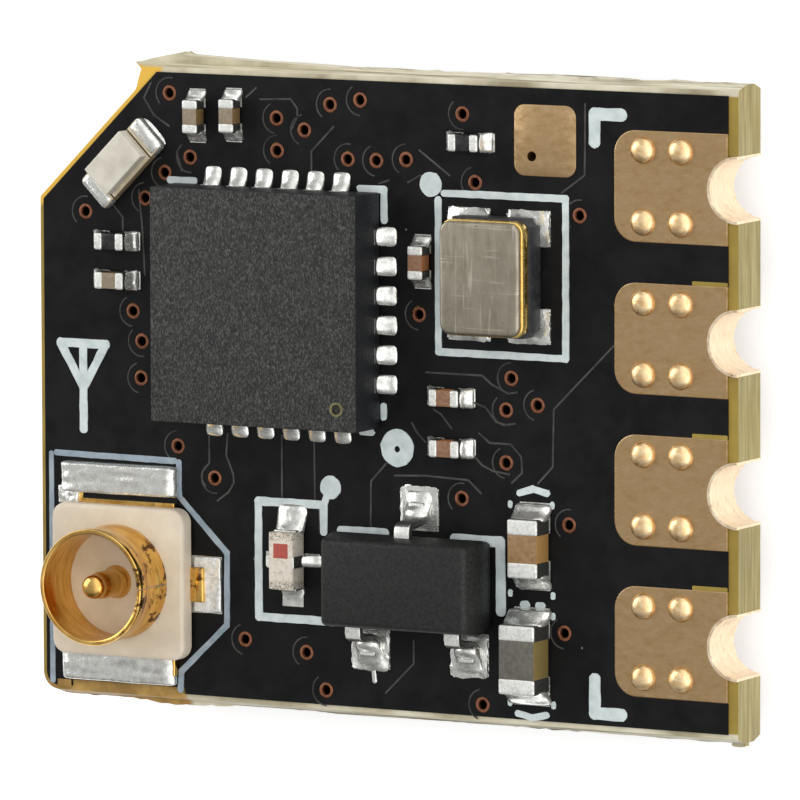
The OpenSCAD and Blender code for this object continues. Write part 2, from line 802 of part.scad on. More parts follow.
// Land of one lead, placed under its foot
module reg_land_plan() {
  middle = reg_lead_out - reg_foot_l / 2;
  translate([0, middle]) square(reg_land, center = true);
}

module regulator_solder() color("gainsboro") on_front() at(reg_c) reg_lead_places() {
  linear_extrude(seat) reg_land_plan();
  translate([0, reg_lead_out, 0])
    joint(0, (reg_land.y - reg_foot_l) / 2, reg_lead_w, 0.8 * reg_lead_t);
}

// Filter

module filter_end_places() {
  for (s = [0, 180]) rotate(s) translate([0, filter_size.y / 2, 0]) children();
}

module filter_side_places() {
  for (s = [90, 270]) rotate(s) translate([0, filter_size.x / 2, 0]) children();
}

filter_end_w = filter_size.x - 2 * filter_term_t;
filter_top = seat + filter_size.z;

module filter_body() color("white") on_front() at(filter_c)
  translate([0, 0, seat]) block(filter_size);

module filter_mark() color("firebrick") on_front() at(filter_c)
  translate([0, filter_size.y / 2 - filter_mark_in - filter_mark.y / 2, filter_top])
    block([filter_mark.x, filter_mark.y, legend_t]);

module filter_terminals() color("silver") on_front() at(filter_c) {
  h = 0.7 * filter_size.z;
  filter_end_places() translate([-filter_end_w / 2, 0, seat]) cube([filter_end_w, filter_term_t, h]);
  filter_side_places() translate([-filter_side_w / 2, 0, seat]) cube([filter_side_w, filter_term_t, h]);
}

module filter_lands() {
  under = filter_side_w / 2;
  filter_end_places() land(under, filter_term_t + filter_reach.x, filter_end_w);
  filter_side_places() land(under, filter_term_t + filter_reach.y, filter_side_w);
}

module filter_solder() color("gainsboro") on_front() at(filter_c) {
  under = filter_side_w / 2 + filter_term_t;
  climb = 0.45 * filter_size.z;
  filter_end_places() translate([0, filter_term_t, 0])
    joint(under, filter_reach.x, filter_end_w, climb);
  filter_side_places() translate([0, filter_term_t, 0])
    joint(under, filter_reach.y, filter_side_w, 0.5 * climb);
}

// Status lamp, along the corner cut

module on_lamp() {
  on_front() at(lamp_c, 45) children();
}

module lamp_end_places() {
  for (s = [-90, 90]) rotate(s) translate([0, lamp_size.x / 2, 0]) children();
}

module lamp_terminal_blocks() {
  lamp_end_places() translate([-lamp_size.y / 2, -lamp_term_l, seat])
    cube([lamp_size.y, lamp_term_l, lamp_base_t]);
}

module status_lamp_base() color("ivory") on_lamp()
  translate([0, 0, seat]) block([lamp_size.x - 2 * lamp_term_l, lamp_size.y, lamp_base_t]);

module status_lamp_lens() color("floralwhite") on_lamp()
  translate([0, 0, seat + lamp_base_t]) block([lamp_lens.x, lamp_lens.y, lamp_lens_t]);

module status_lamp_terminals() color("silver") on_lamp() lamp_terminal_blocks();

module lamp_lands() {
  lamp_end_places() land(lamp_term_l, lamp_reach, lamp_size.y);
}

module status_lamp_solder() color("gainsboro") on_lamp()
  lamp_end_places() joint(lamp_term_l, lamp_reach, lamp_size.y, 0.6 * lamp_base_t);

// Chip capacitors and resistors

module chip_places(chip) {
  at(chip[0], chip[1]) for (s = [-90, 90]) rotate(s) translate([0, chip[2].x / 2, 0]) children();
}

module chip_body(chip) {
  size = chip[2];
  at(chip[0], chip[1]) translate([0, 0, seat + cap_t])
    block([size.x - 2 * chip[3], size.y - 2 * cap_t, size.z - 2 * cap_t]);
}

module chip_caps(chip) {
  size = chip[2];
  chip_places(chip) translate([-size.y / 2, -chip[3], seat]) cube([size.y, chip[3], size.z]);
}

module chip_joints(chip) {
  chip_places(chip) joint(chip[3], chip[4], chip[2].y, 0.6 * chip[2].z);
}

module chip_lands(chip) {
  chip_places(chip) land(chip[3], chip[4], chip[2].y);
}

module capacitor(i) color("tan") on_front() chip_body(front_chips[i]);

module resistor(i) color("black") on_front() chip_body(front_chips[i]);

module chip_end_caps() color("silver") on_front() for (chip = front_chips) chip_caps(chip);

module chip_solder() color("gainsboro") on_front() for (chip = front_chips) chip_joints(chip);

module back_capacitors() color("tan") on_back() for (chip = back_capacitor_list) chip_body(chip);

module back_resistors() color("black") on_back() for (chip = back_resistor_list) chip_body(chip);

module back_chip_end_caps() color("silver") on_back() for (chip = back_chips) chip_caps(chip);

module back_chip_solder() color("gainsboro") on_back() for (chip = back_chips) chip_joints(chip);

// Solder mask, open over every land, pad and via

module front_openings() {
  for (i = [0:pad_count - 1]) pad_opening(i, pad_l);
  at(boot_c) rounded_rect(boot_size, boot_r);
  for (p = vias) at(p) circle(via_r);
  at(radio_c) qfn_lands(radio_w, radio_n, radio_reach);
  at(osc_c) osc_lands();
  at(jack_c) jack_lands();
  at(reg_c) reg_lead_places() reg_land_plan();
  at(filter_c) filter_lands();
  at(lamp_c, 45) lamp_lands();
  for (chip = front_chips) chip_lands(chip);
}

module back_openings() {
  for (i = [0:pad_count - 1]) pad_opening(i, pad_back_l);
  at(mcu_c) qfn_lands(mcu_w, mcu_n, mcu_reach);
  at(crystal_c) osc_lands();
  for (chip = back_chips) chip_lands(chip);
}

// A pad's opening runs on over the notch
module pad_opening(i, l) {
  pad_shape(i, l);
  translate([x_right, pad_y(i)]) circle(notch_r + plating_t);
}

// The mask is cut away between the jack's lower land and the board's edge
module bare_strip() {
  translate([jack_c.x - jack_land_w / 2, y_bottom - score_lip])
    square([jack_land_w, jack_at.y - jack_half - jack_land_out + 2 * score_lip]);
}

module mask_plan() {
  board_outline(mask_in, mask_in_pads, corner_r - mask_in);
}

module solder_mask_front() color("black") on_front() linear_extrude(mask_t) difference() {
  mask_plan();
  front_openings();
  bare_strip();
}

module solder_mask_back() color("black") on_back() linear_extrude(mask_t) difference() {
  mask_plan();
  back_openings();
}

// Legend, clipped where it would print on bare metal or past the mask

// Distance of a framing line's middle from the land that it frames
line_off = legend_off + legend_w / 2;

module jack_legend() {
  left = -jack_half - 0.13 - legend_w / 2;
  top = jack_half + jack_land_out_top + line_off;
  step = jack_half - 0.27;
  low = -jack_half - jack_land_out - line_off;
  out = jack_half + jack_signal_land_out + line_off;
  half_signal = jack_signal_land_w / 2 + line_off;
  path([[left, low], [left, top], [step, top], [step, jack_half + 0.2], [out, half_signal],
        [out, -half_signal], [step, -jack_half - 0.2], [step, low]]);
}

module radio_legend() {
  corner = radio_half + legend_w / 2;
  path([[corner - 0.45, corner], [corner, corner], [corner, corner - 0.5]]);
  path([[-corner, corner - 0.5], [-corner, corner], [-corner + 0.6, corner]]);
  path([[corner, 0.2 - corner], [corner, 0.4 - corner]]);
  path([[corner - 0.4, -corner], [corner - 0.2, -corner]]);
  translate([corner + 0.24, -corner - 0.25]) difference() {
    circle(1.25 * legend_dot_r);
    circle(0.4 * legend_dot_r);
  }
}

osc_frame = osc_size + 2 * osc_land_out + 4.5 * [line_off, line_off];

module osc_legend() {
  frame(osc_frame);
  translate([-osc_frame.x / 2 - 0.12, osc_frame.y / 2 + 0.1]) circle(legend_dot_r);
}

module reg_legend() {
  x = reg_size.x / 2 + 0.14;
  y = reg_size.y / 2 + legend_w / 2;
  path([[-x, y], [-reg_pitch + 0.33, y]]);
  path([[reg_pitch - 0.39, y], [x, y], [x, y - 1.25]]);
}

module filter_legend() {
  x = filter_size.x / 2 + filter_term_t + filter_reach.y + 1.5 * line_off;
  y = filter_size.y / 2 + filter_term_t + filter_reach.x + 1.5 * line_off;
  path([[x, y - 0.55], [x, y], [-x, y], [-x, -y], [x - 0.1, -y]]);
  translate([x + 0.08, y + 0.28]) circle(legend_dot_r);
}

// Short marks around the two larger capacitors
module chip_legend(chip) {
  x = chip[2].y / 2 + 0.1;
  y = chip[2].x / 2 + large_reach + 0.02;
  translate(chip[0]) {
    for (sx = [-1, 1], sy = [-1, 1]) translate([sx * x, sy * y]) square([0.08, 0.1], center = true);
    for (sx = [-1, 1]) translate([sx * 0.15, -y - 0.1]) square([0.2, 0.06], center = true);
  }
}

// Brackets around the outer corners of the pad row
module bracket_legend(l) {
  x = x_right - mask_in_pads - l - bracket_gap - bracket_w / 2;
  y = pad_y(0) + pad_drop + pad_w / 2 + bracket_gap + bracket_w / 2;
  for (sy = [-1, 1]) translate([0, -pad_drop]) {
    stroke([x, sy * y], [x + bracket_l - bracket_w, sy * y], bracket_w);
    stroke([x, sy * y], [x, sy * (y - bracket_l + bracket_w)], bracket_w);
  }
}

// Plain aerial sign above the jack
module aerial_legend() {
  h = 1.5;
  w = 0.45;
  path([[0, 0], [0, h]]);
  path([[-w, h], [0, h - 0.7], [w, h], [-w, h]]);
}

module front_legend_plan() {
  at(jack_c) jack_legend();
  at(radio_c) radio_legend();
  at(osc_c) osc_legend();
  at(reg_c) reg_legend();
  at(filter_c) filter_legend();
  for (i = [6, 7]) chip_legend(front_chips[i]);
  bracket_legend(pad_l);
  at([jack_c.x - 0.85, jack_c.y + jack_half + jack_land_out_top + 0.55]) aerial_legend();
}

module back_legend_plan() {
  mcu_frame = mcu_w + 2 * mcu_reach + 0.4;
  at(mcu_c) difference() {
    frame([mcu_frame, mcu_frame]);
    square([mcu_frame - 1.2, 2 * mcu_frame], center = true);
    square([2 * mcu_frame, mcu_frame - 1.2], center = true);
  }
  at(mcu_c) translate([mcu_frame / 2 + 2 * legend_dot_r, mcu_frame / 2 - 0.6]) circle(legend_dot_r);
  at(crystal_c) frame(osc_frame);
  bracket_legend(pad_back_l);
}

module legend_clip() {
  board_outline(mask_in + legend_gap, mask_in_pads + legend_gap, corner_r - mask_in - legend_gap);
}

module legend_front() color("aliceblue") on_front() translate([0, 0, mask_t])
  linear_extrude(legend_t) difference() {
    intersection() {
      front_legend_plan();
      legend_clip();
    }
    front_openings();
    bare_strip();
  }

module legend_back() color("aliceblue") on_back() translate([0, 0, mask_t])
  linear_extrude(legend_t) difference() {
    intersection() {
      back_legend_plan();
      legend_clip();
    }
    back_openings();
  }

board_laminate();
solder_mask_front();
solder_mask_back();
legend_front();
legend_back();
edge_pad(0);  // edge_pad_1
edge_pad(1);  // edge_pad_2
edge_pad(2);  // edge_pad_3
edge_pad(3);  // edge_pad_4
boot_pad();
via_barrels();
radio_chip_body();
radio_chip_terminals();
radio_chip_solder();
oscillator_base();
oscillator_seal_ring();
oscillator_lid();
oscillator_solder();
antenna_jack_base();
antenna_jack_shell();
antenna_jack_pin();
antenna_jack_solder();
regulator_body();
regulator_leads();
regulator_solder();
filter_body();
filter_mark();
filter_terminals();
filter_solder();
status_lamp_base();
status_lamp_lens();
status_lamp_terminals();
status_lamp_solder();
capacitor(0);  // capacitor_1
capacitor(1);  // capacitor_2
capacitor(2);  // capacitor_3
capacitor(3);  // capacitor_4
capacitor(4);  // capacitor_5
capacitor(5);  // capacitor_6
capacitor(6);  // capacitor_7
capacitor(7);  // capacitor_8
resistor(8);  // resistor_1
resistor(9);  // resistor_2
chip_end_caps();
chip_solder();
mcu_body();
mcu_terminals();
mcu_solder();
crystal_base();
crystal_lid();
crystal_solder();
back_capacitors();
back_resistors();
back_chip_end_caps();
back_chip_solder();
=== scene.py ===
# %% [markdown]
# # A nano radio receiver board
# The object is a bare circuit board, thirteen millimetres wide, with all its parts on show. The
# model is loaded first as a fixed frame, and each piece is then made again at the same
# place with the rounding, solder and finish that the eye looks for. Everything is modelled in
# millimetres from the middle of the row of pads on the front face, as those are the numbers a maker
# would measure, and each finished piece is scaled to metres at the end.

# %% Load the frame
from math import pi, radians

import bpy
from mathutils import Matrix, Vector


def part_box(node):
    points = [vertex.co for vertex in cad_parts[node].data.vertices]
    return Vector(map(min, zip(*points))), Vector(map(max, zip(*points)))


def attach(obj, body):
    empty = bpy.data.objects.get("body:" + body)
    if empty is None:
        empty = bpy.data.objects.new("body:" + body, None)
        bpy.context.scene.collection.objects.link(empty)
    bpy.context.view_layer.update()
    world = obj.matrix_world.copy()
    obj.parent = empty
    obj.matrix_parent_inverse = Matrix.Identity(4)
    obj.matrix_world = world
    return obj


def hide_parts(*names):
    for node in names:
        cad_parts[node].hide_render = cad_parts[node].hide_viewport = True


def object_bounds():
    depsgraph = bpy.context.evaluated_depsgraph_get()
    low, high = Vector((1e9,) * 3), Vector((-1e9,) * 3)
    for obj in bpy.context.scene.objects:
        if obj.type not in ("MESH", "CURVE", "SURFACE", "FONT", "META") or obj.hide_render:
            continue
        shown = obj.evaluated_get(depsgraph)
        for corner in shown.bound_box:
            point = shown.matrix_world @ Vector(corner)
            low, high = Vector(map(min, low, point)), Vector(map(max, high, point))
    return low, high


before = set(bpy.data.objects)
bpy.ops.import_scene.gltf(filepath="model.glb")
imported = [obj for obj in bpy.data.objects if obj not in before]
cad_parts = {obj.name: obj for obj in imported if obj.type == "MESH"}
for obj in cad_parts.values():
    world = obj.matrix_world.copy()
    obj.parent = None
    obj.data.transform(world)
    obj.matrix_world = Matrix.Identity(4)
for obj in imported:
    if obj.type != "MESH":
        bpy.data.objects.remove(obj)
cad_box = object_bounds()
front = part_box("board_laminate")[1][2]
row_middle = (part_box("edge_pad_1")[1][1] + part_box("edge_pad_4")[0][1]) / 2
datum = Vector((0, row_middle, front))
scene = bpy.context.scene
scene.view_settings.view_transform = "Standard"
print("nodes:", len(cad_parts), "front face at", round(front * 1000, 3), "mm")

# %% [markdown]
# ## Camera
# The board lies flat, and the camera looks down on it from the right, a little from the far side.
# The lens is long, as for a close-up of something small, so the board's edges stay nearly parallel.
# The three angles turn the board in front of a fixed camera, so the camera itself is placed with
# the opposite turn.

# %% Place the camera
yaw, pitch, roll = 0.5070, 0.1132, 0.0034
board_turn = Matrix.Rotation(roll, 3, "Z") @ Matrix.Rotation(pitch, 3, "X")
board_turn = board_turn @ Matrix.Rotation(-yaw, 3, "Y")
camera_axes = board_turn.transposed()
camera_offset = Vector((0.2745, -0.0151, 176.043))
camera_place = camera_axes @ camera_offset * 0.001 + datum
bpy.ops.object.camera_add(location=camera_place, rotation=camera_axes.to_euler())
camera = bpy.context.object
focal_pixels, picture_pixels, sensor = 10448.93, 800, 36
camera.data.sensor_width = sensor
camera.data.lens = focal_pixels / picture_pixels * sensor
camera.data.clip_start = 0.005
scene.camera = camera
print("camera at", [round(v * 1000, 1) for v in camera_place], "mm")

# %% [markdown]
# ## Studio
# Metal shows what stands around it. The surroundings are white on the right, greyer on the left and
# dark low down in front, so flat gold looks tan while its domes and the solder's slopes shine; the
# domes also have a paler gold than the pads, a painted highlight. The stronger lamp stands at the upper
# left, so the sides that look right lie in shade; besides, the sides of the tin are painted dark as
# shade, and the sides of the chip capacitors carry painted light and shade. The floor is a pale sheet
# that glows just enough to look white and still takes the shadow. Surroundings, floor and finishes are
# all made of shader nodes, so a few helpers come first that add nodes and link them.

# %% Node helpers
def tree_of(owner):
    """The node tree of a finish or of the world, or the one that a node's socket is in."""
    return owner.node_tree if hasattr(owner, "node_tree") else owner.id_data


def add(owner, kind, **values):
    """A new shader node, with some of its inputs set."""
    node = tree_of(owner).nodes.new("ShaderNode" + kind)
    for name, value in values.items():
        node.inputs[name.replace("_", " ")].default_value = value
    return node


def link(a, b):
    tree_of(a).links.new(a, b)


def ranged(value, low, high, first=0, last=1):
    """A value that goes smoothly from first to last while another goes from low to high."""
    node = add(value, "MapRange", From_Min=low, From_Max=high, To_Min=first, To_Max=last)
    node.interpolation_type = "SMOOTHSTEP"
    link(value, node.inputs["Value"])
    return node.outputs["Result"]


def maths(operation, a, b=None):
    """One step of arithmetic on a value; b is a number or another value."""
    node = add(a, "Math")
    node.operation = operation
    link(a, node.inputs[0])
    if isinstance(b, (int, float)):
        node.inputs[1].default_value = b
    elif b is not None:
        link(b, node.inputs[1])
    return node.outputs["Value"]


def split(vector):
    node = add(vector, "SeparateXYZ")
    link(vector, node.inputs["Vector"])
    return node.outputs


print("node helpers ready")

# %% Surroundings
world = bpy.data.worlds.new("studio")
scene.world = world
world.use_nodes = True
direction = split(add(world, "TexCoord").outputs["Generated"])
rightward = ranged(direction["X"], -0.5, 0.3, 0.42, 1.45)
forward = ranged(direction["Y"], -0.8, -0.2, 0.25)
sky = world.node_tree.nodes["Background"]
link(maths("MULTIPLY", rightward, forward), sky.inputs["Strength"])
sky.inputs["Color"].default_value = (1, 1, 1, 1)
print("surroundings made")

# %% Floor and lamps
bpy.ops.mesh.primitive_plane_add(size=1.5, location=(0, 0, cad_box[0][2]))
floor = bpy.context.object
floor.name = "floor"
paper = bpy.data.materials.new("pale_paper")
paper.use_nodes = True
paper_nodes = paper.node_tree.nodes
paper_nodes.remove(paper_nodes["Principled BSDF"])
rays = add(paper, "LightPath").outputs
seen = maths("MAXIMUM", rays["Is Camera Ray"], rays["Is Glossy Ray"])
seen = maths("MAXIMUM", seen, rays["Is Transmission Ray"])
matt = add(paper, "BsdfDiffuse", Color=(0.9, 0.9, 0.9, 1))
glow = add(paper, "Emission")
link(ranged(seen, 0, 1, 0, 0.42), glow.inputs["Strength"])
both = add(paper, "AddShader")
link(matt.outputs["BSDF"], both.inputs[0])
link(glow.outputs["Emission"], both.inputs[1])
link(both.outputs["Shader"], paper_nodes["Material Output"].inputs["Surface"])
floor.data.materials.append(paper)


def soft_lamp(name, place, size, level):
    """A square lamp at a place in millimetres that faces the board, with the given brightness."""
    bpy.ops.object.light_add(type="AREA", location=[v * 0.001 for v in place],
        rotation=Vector(place).to_track_quat("Z", "Y").to_euler())
    lamp = bpy.context.object
    lamp.name = name
    lamp.data.size = size * 0.001
    lamp.data.energy = level * pi * (size * 0.001) ** 2


soft_lamp("right_lamp", (95, -45, 75), 70, 1.2)
soft_lamp("left_lamp", (-110, 35, 62), 90, 2.6)
print("floor and two lamps placed")

# %% [markdown]
# ## Working by hand, in code
# An operator acts on whatever is selected, so every step starts by clearing the selection and
# choosing just the piece, face, edge or point that it is meant for. These few helpers do that, and
# each of them is a thing one does with the mouse: add a block, pick an edge, round it off.

# %% Choose and settle
def fresh():
    """Object mode with nothing selected."""
    if bpy.context.mode != "OBJECT":
        bpy.ops.object.mode_set(mode="OBJECT")
    bpy.ops.object.select_all(action="DESELECT")


def use(*pieces):
    fresh()
    for piece in pieces:
        piece.select_set(True)
    bpy.context.view_layer.objects.active = pieces[0]
    return pieces[0]


def settle(piece):
    """Puts a piece's place, turn and size into its mesh."""
    use(piece)
    bpy.ops.object.transform_apply(location=True, rotation=True, scale=True)
    return piece


def named(name):
    piece = bpy.context.object
    piece.name = piece.data.name = name
    return piece


def block(name, low, high):
    """A box between two corners."""
    fresh()
    bpy.ops.mesh.primitive_cube_add(size=1, location=[(a + b) / 2 for a, b in zip(low, high)])
    piece = named(name)
    piece.scale = [b - a for a, b in zip(low, high)]
    return settle(piece)


def select_all():
    bpy.ops.mesh.select_all(action="SELECT")


def pull(*way):
    """Extrudes what is selected and moves it by x, y and z."""
    bpy.ops.mesh.extrude_region_move(TRANSFORM_OT_translate={"value": way})


def shake(offset, seed):
    """Moves each selected point a little, at random but the same way for the same seed."""
    bpy.ops.transform.vertex_random(offset=offset, uniform=0, normal=0, seed=seed)


def pick(piece, kind, test):
    """Edit mode with just the VERT, EDGE or FACE elements selected for which test is true."""
    use(piece)
    bpy.ops.object.mode_set(mode="EDIT")
    bpy.ops.mesh.select_mode(type=kind)
    bpy.ops.mesh.select_all(action="DESELECT")
    bpy.ops.object.mode_set(mode="OBJECT")
    mesh = piece.data
    if kind == "FACE":
        for face in mesh.polygons:
            face.select = bool(test(face.center, face.normal))
    elif kind == "EDGE":
        for edge in mesh.edges:
            edge.select = bool(test(*(mesh.vertices[i].co for i in edge.vertices)))
    else:
        for point in mesh.vertices:
            point.select = bool(test(point.co))
    bpy.ops.object.mode_set(mode="EDIT")


print("selection helpers ready")


# %% Finish with modifiers
def finish_with(piece, kind, **settings):
    """Adds a modifier, sets it and applies it."""
    use(piece)
    step = piece.modifiers.new(kind.title(), kind)
    for key, value in settings.items():
        setattr(step, key, value)
    bpy.ops.object.modifier_apply(modifier=step.name)
    return piece


def soften(piece, width, steps=3, angle=30):
    """Rounds every edge sharper than the angle."""
    return finish_with(piece, "BEVEL", width=width, segments=steps, limit_method="ANGLE",
        angle_limit=radians(angle))


def subdivided(piece, levels=1):
    return finish_with(piece, "SUBSURF", levels=levels, render_levels=levels)


def join(name, pieces):
    use(*pieces)
    if len(pieces) > 1:
        bpy.ops.object.join()
    return named(name)


def carve(piece, tools):
    """Takes the tools' shapes out of a piece."""
    tool = join("tool", tools)
    finish_with(piece, "BOOLEAN", operation="DIFFERENCE", solver="EXACT", object=tool)
    bpy.data.objects.remove(tool)
    return piece


def clean(piece):
    """Merges doubled points and turns all faces outwards."""
    use(piece)
    bpy.ops.object.mode_set(mode="EDIT")
    select_all()
    bpy.ops.mesh.remove_doubles(threshold=1e-4)
    bpy.ops.mesh.normals_make_consistent(inside=False)
    bpy.ops.object.mode_set(mode="OBJECT")
    return piece


print("modifier helpers ready")


# %% Slabs, rods and turned shapes
def slab(name, size, low, high, corner=0.0, edge=0.0, at=(0, 0), steps=3):
    """A plate with rounded corners in plan and softened edges."""
    x, y, w, h = *at, size[0] / 2, size[1] / 2
    piece = block(name, (x - w, y - h, low), (x + w, y + h, high))
    if corner:
        pick(piece, "EDGE", lambda a, b: (a.xy - b.xy).length < 1e-4)
        bpy.ops.mesh.bevel(offset=corner, segments=8, affect="EDGES")
    return soften(piece, edge, steps) if edge else piece


def rod(name, radius, low, high, at=(0, 0), sides=40):
    fresh()
    bpy.ops.mesh.primitive_cylinder_add(vertices=sides, radius=radius, depth=high - low,
        location=(*at, (low + high) / 2))
    return settle(named(name))


def draw(points):
    """Shrinks the new piece to one point and extrudes that point from place to place."""
    bpy.ops.object.mode_set(mode="EDIT")
    bpy.ops.mesh.select_mode(type="VERT")
    select_all()
    bpy.ops.mesh.merge(type="CENTER")
    bpy.ops.transform.translate(value=points[0])
    for a, b in zip(points, points[1:]):
        bpy.ops.mesh.extrude_vertices_move(TRANSFORM_OT_translate={"value": Vector(b) - Vector(a)})
    select_all()


def cut_out(name, outline, low, high):
    """A plate of any outline: drawn point by point, closed, filled and extruded."""
    fresh()
    bpy.ops.mesh.primitive_plane_add(size=0.1)
    piece = named(name)
    draw([(x, y, low) for x, y in outline + outline[:1]])
    bpy.ops.mesh.remove_doubles(threshold=1e-4)
    bpy.ops.mesh.edge_face_add()
    pull(0, 0, high - low)
    bpy.ops.object.mode_set(mode="OBJECT")
    return clean(piece)


def turned(name, outline, at=(0, 0), steps=64, sweep=360, start=0):
    """A profile of (radius, height) points drawn point by point, then spun like work on a lathe."""
    fresh()
    bpy.ops.mesh.primitive_plane_add(size=0.1)
    piece = named(name)
    draw([(radius, 0, height) for radius, height in outline])
    bpy.ops.mesh.spin(steps=steps, angle=radians(sweep), center=(0, 0, 0), axis=(0, 0, 1))
    bpy.ops.object.mode_set(mode="OBJECT")
    clean(piece)
    piece.rotation_euler.z = radians(start)
    piece.location.xy = at
    return settle(piece)


board_back = -0.8


def near(centre, right=0.0, up=0.0):
    return centre[0] + right, centre[1] + up


def copies(piece, places, back=False):
    """Copies of a piece, each with its own mesh, at (x, y, degrees); the first one is used up."""
    made = []
    for x, y, turn in places:
        twin = piece.copy()
        twin.data = piece.data.copy()
        bpy.context.collection.objects.link(twin)
        twin.rotation_euler = (pi if back else 0, 0, radians(turn))
        twin.location = (x, y, board_back if back else 0)
        made.append(settle(twin))
    bpy.data.objects.remove(piece)
    return made


def placed(piece, place, back=False):
    return copies(piece, [place], back)[0]


print("shape helpers ready")

# %% [markdown]
# ## Finishes
# No surface here is one flat colour: lacquer carries dust, gold is mottled, moulded plastic has a
# grain. Each finish reads the piece's own coordinates in millimetres through a Mapping node, lets
# a noise choose between a few shades, and uses the same noise for roughness and a fine relief.

# %% Finish helpers
def millimetres(look, stretch=(1, 1, 1)):
    scale = add(look, "Mapping", Scale=[1000 * s for s in stretch])
    link(add(look, "TexCoord").outputs["Object"], scale.inputs["Vector"])
    return scale.outputs["Vector"]


def noise(look, size, detail=4.0, stretch=(1, 1, 1)):
    """Cloudy noise with lumps of about the given size in millimetres."""
    node = add(look, "TexNoise", Scale=1 / size, Detail=detail, Roughness=0.6)
    link(millimetres(look, stretch), node.inputs["Vector"])
    return node.outputs["Fac"]


def shades(value, stops):
    """A colour ramp with (position, colour) stops."""
    ramp = add(value, "ValToRGB")
    bands = ramp.color_ramp.elements
    while len(bands) < len(stops):
        bands.new(0.5)
    for band, (place, colour) in zip(bands, stops):
        band.position = place
        band.color = (*colour, 1)
    link(value, ramp.inputs["Fac"])
    return ramp.outputs["Color"]


def mixed(share, first, second):
    node = add(share, "Mix")
    node.data_type = "RGBA"
    link(share, node.inputs[0])
    for socket, value in ((node.inputs[6], first), (node.inputs[7], second)):
        if isinstance(value, tuple):
            socket.default_value = (*value, 1)
        else:
            link(value, socket)
    return node.outputs[2]


def shader_of(owner):
    return tree_of(owner).nodes["Principled BSDF"]


def finish(name, stops, size, rough, metal=0.0, specular=0.5, bump=0.0, stretch=(1, 1, 1), detail=4.0):
    """A finish whose colour, roughness and relief (in millimetres) follow one noise."""
    look = bpy.data.materials.new(name)
    look.use_nodes = True
    shader = shader_of(look)
    shader.inputs["Metallic"].default_value = metal
    shader.inputs["Specular IOR Level"].default_value = specular
    grain = noise(look, size, detail, stretch)
    link(shades(grain, stops), shader.inputs["Base Color"])
    link(ranged(grain, 0.35, 0.65, *rough), shader.inputs["Roughness"])
    if bump:
        relief = add(look, "Bump", Strength=1.0, Distance=bump * 0.001)
        link(grain, relief.inputs["Height"])
        link(relief.outputs["Normal"], shader.inputs["Normal"])
    return look


def facing(look, axis):
    """How far a face looks along an axis, either way: 1 when straight along it, 0 when across."""
    normal = add(look, "NewGeometry").outputs["Normal"]
    return maths("ABSOLUTE", split(normal)[axis])


def colour_by(share, second):
    """Blends a second colour over a finish where the share is 1."""
    socket = shader_of(share).inputs["Base Color"]
    link(mixed(share, socket.links[0].from_socket, second), socket)


def with_sides(look, colour):
    """Gives the upright faces of a finish another colour."""
    colour_by(ranged(facing(look, "Z"), 0.85, 0.4), colour)


def spots(look, size, share, radius):
    """1 inside small scattered spots: one cell of the given size in a share of the cells."""
    cells = add(look, "TexVoronoi", Scale=1 / size)
    link(millimetres(look), cells.inputs["Vector"])
    inside = maths("LESS_THAN", cells.outputs["Distance"], radius / size)
    pickout = add(look, "SeparateColor")
    link(cells.outputs["Color"], pickout.inputs["Color"])
    chosen = maths("LESS_THAN", pickout.outputs["Red"], share)
    return maths("MULTIPLY", inside, chosen)


print("finish helpers ready")


# %% [markdown]
# ### Board finishes
# The lacquer is a black film with a soft sheen and a little dust. The board under it is glass cloth
# in resin: yellow where the resin is smooth, paler and layered where the edge was broken along its
# score line. A ramp on the face's own direction tells those edges apart.

# %% Lacquer, print and board
lacquer = finish("black_lacquer", [(0.3, (0.004, 0.004, 0.0045)), (0.7, (0.008, 0.008, 0.008))], 0.5,
    (0.36, 0.52), specular=0.14, bump=0.002)
colour_by(spots(lacquer, 0.42, 0.13, 0.02), (0.16, 0.16, 0.15))

# The ridges' finish is a paler copy of the lacquer: a painted highlight on the raised edges.
painted_ridge_highlight = finish("lacquer_ridge_painted_highlight", [(0.3, (0.022, 0.022, 0.021)), (0.7, (0.075, 0.072, 0.066))], 0.3,
    (0.4, 0.55), specular=0.3)
print_ink = finish("white_print", [(0.35, (0.49, 0.56, 0.56)), (0.6, (0.62, 0.69, 0.68))], 0.25,
    (0.5, 0.65), bump=0.003)
thin_ink = finish("thin_print", [(0.35, (0.21, 0.27, 0.32)), (0.6, (0.33, 0.39, 0.44))], 0.3,
    (0.5, 0.65), bump=0.003)

glass_cloth = finish("glass_cloth", [(0.3, (0.26, 0.175, 0.024)), (0.7, (0.36, 0.25, 0.038))], 0.8,
    (0.42, 0.6), bump=0.004)
layers = noise(glass_cloth, 1.0, 4.0, (0.6, 0.6, 13.0))
routed = shades(layers, [(0.35, (0.24, 0.185, 0.062)), (0.5, (0.33, 0.265, 0.098)),
    (0.65, (0.43, 0.36, 0.155))])
broken = shades(layers, [(0.36, (0.31, 0.265, 0.16)), (0.5, (0.54, 0.49, 0.34)),
    (0.64, (0.72, 0.67, 0.52))])
edges = mixed(ranged(facing(glass_cloth, "Y"), 0.72, 0.9), routed, broken)
place = split(millimetres(glass_cloth))
off_middle = maths("ABSOLUTE", place["Y"])
colour_by(ranged(off_middle, 5.29, 5.33), broken)
past_cut = maths("SUBTRACT", place["Y"], place["X"])
corner_resin = maths("MULTIPLY", ranged(past_cut, 9.6, 9.7), ranged(place["Y"], 5.44, 5.38))
jack_resin = maths("MULTIPLY", ranged(place["X"], -3.8, -3.95), ranged(place["Y"], -5.1, -5.2))
colour_by(corner_resin, (0.76, 0.45, 0.05))
upright = maths("MULTIPLY", ranged(facing(glass_cloth, "Z"), 0.9, 0.6), ranged(place["Y"], 5.7, 5.6))
colour_by(upright, edges)
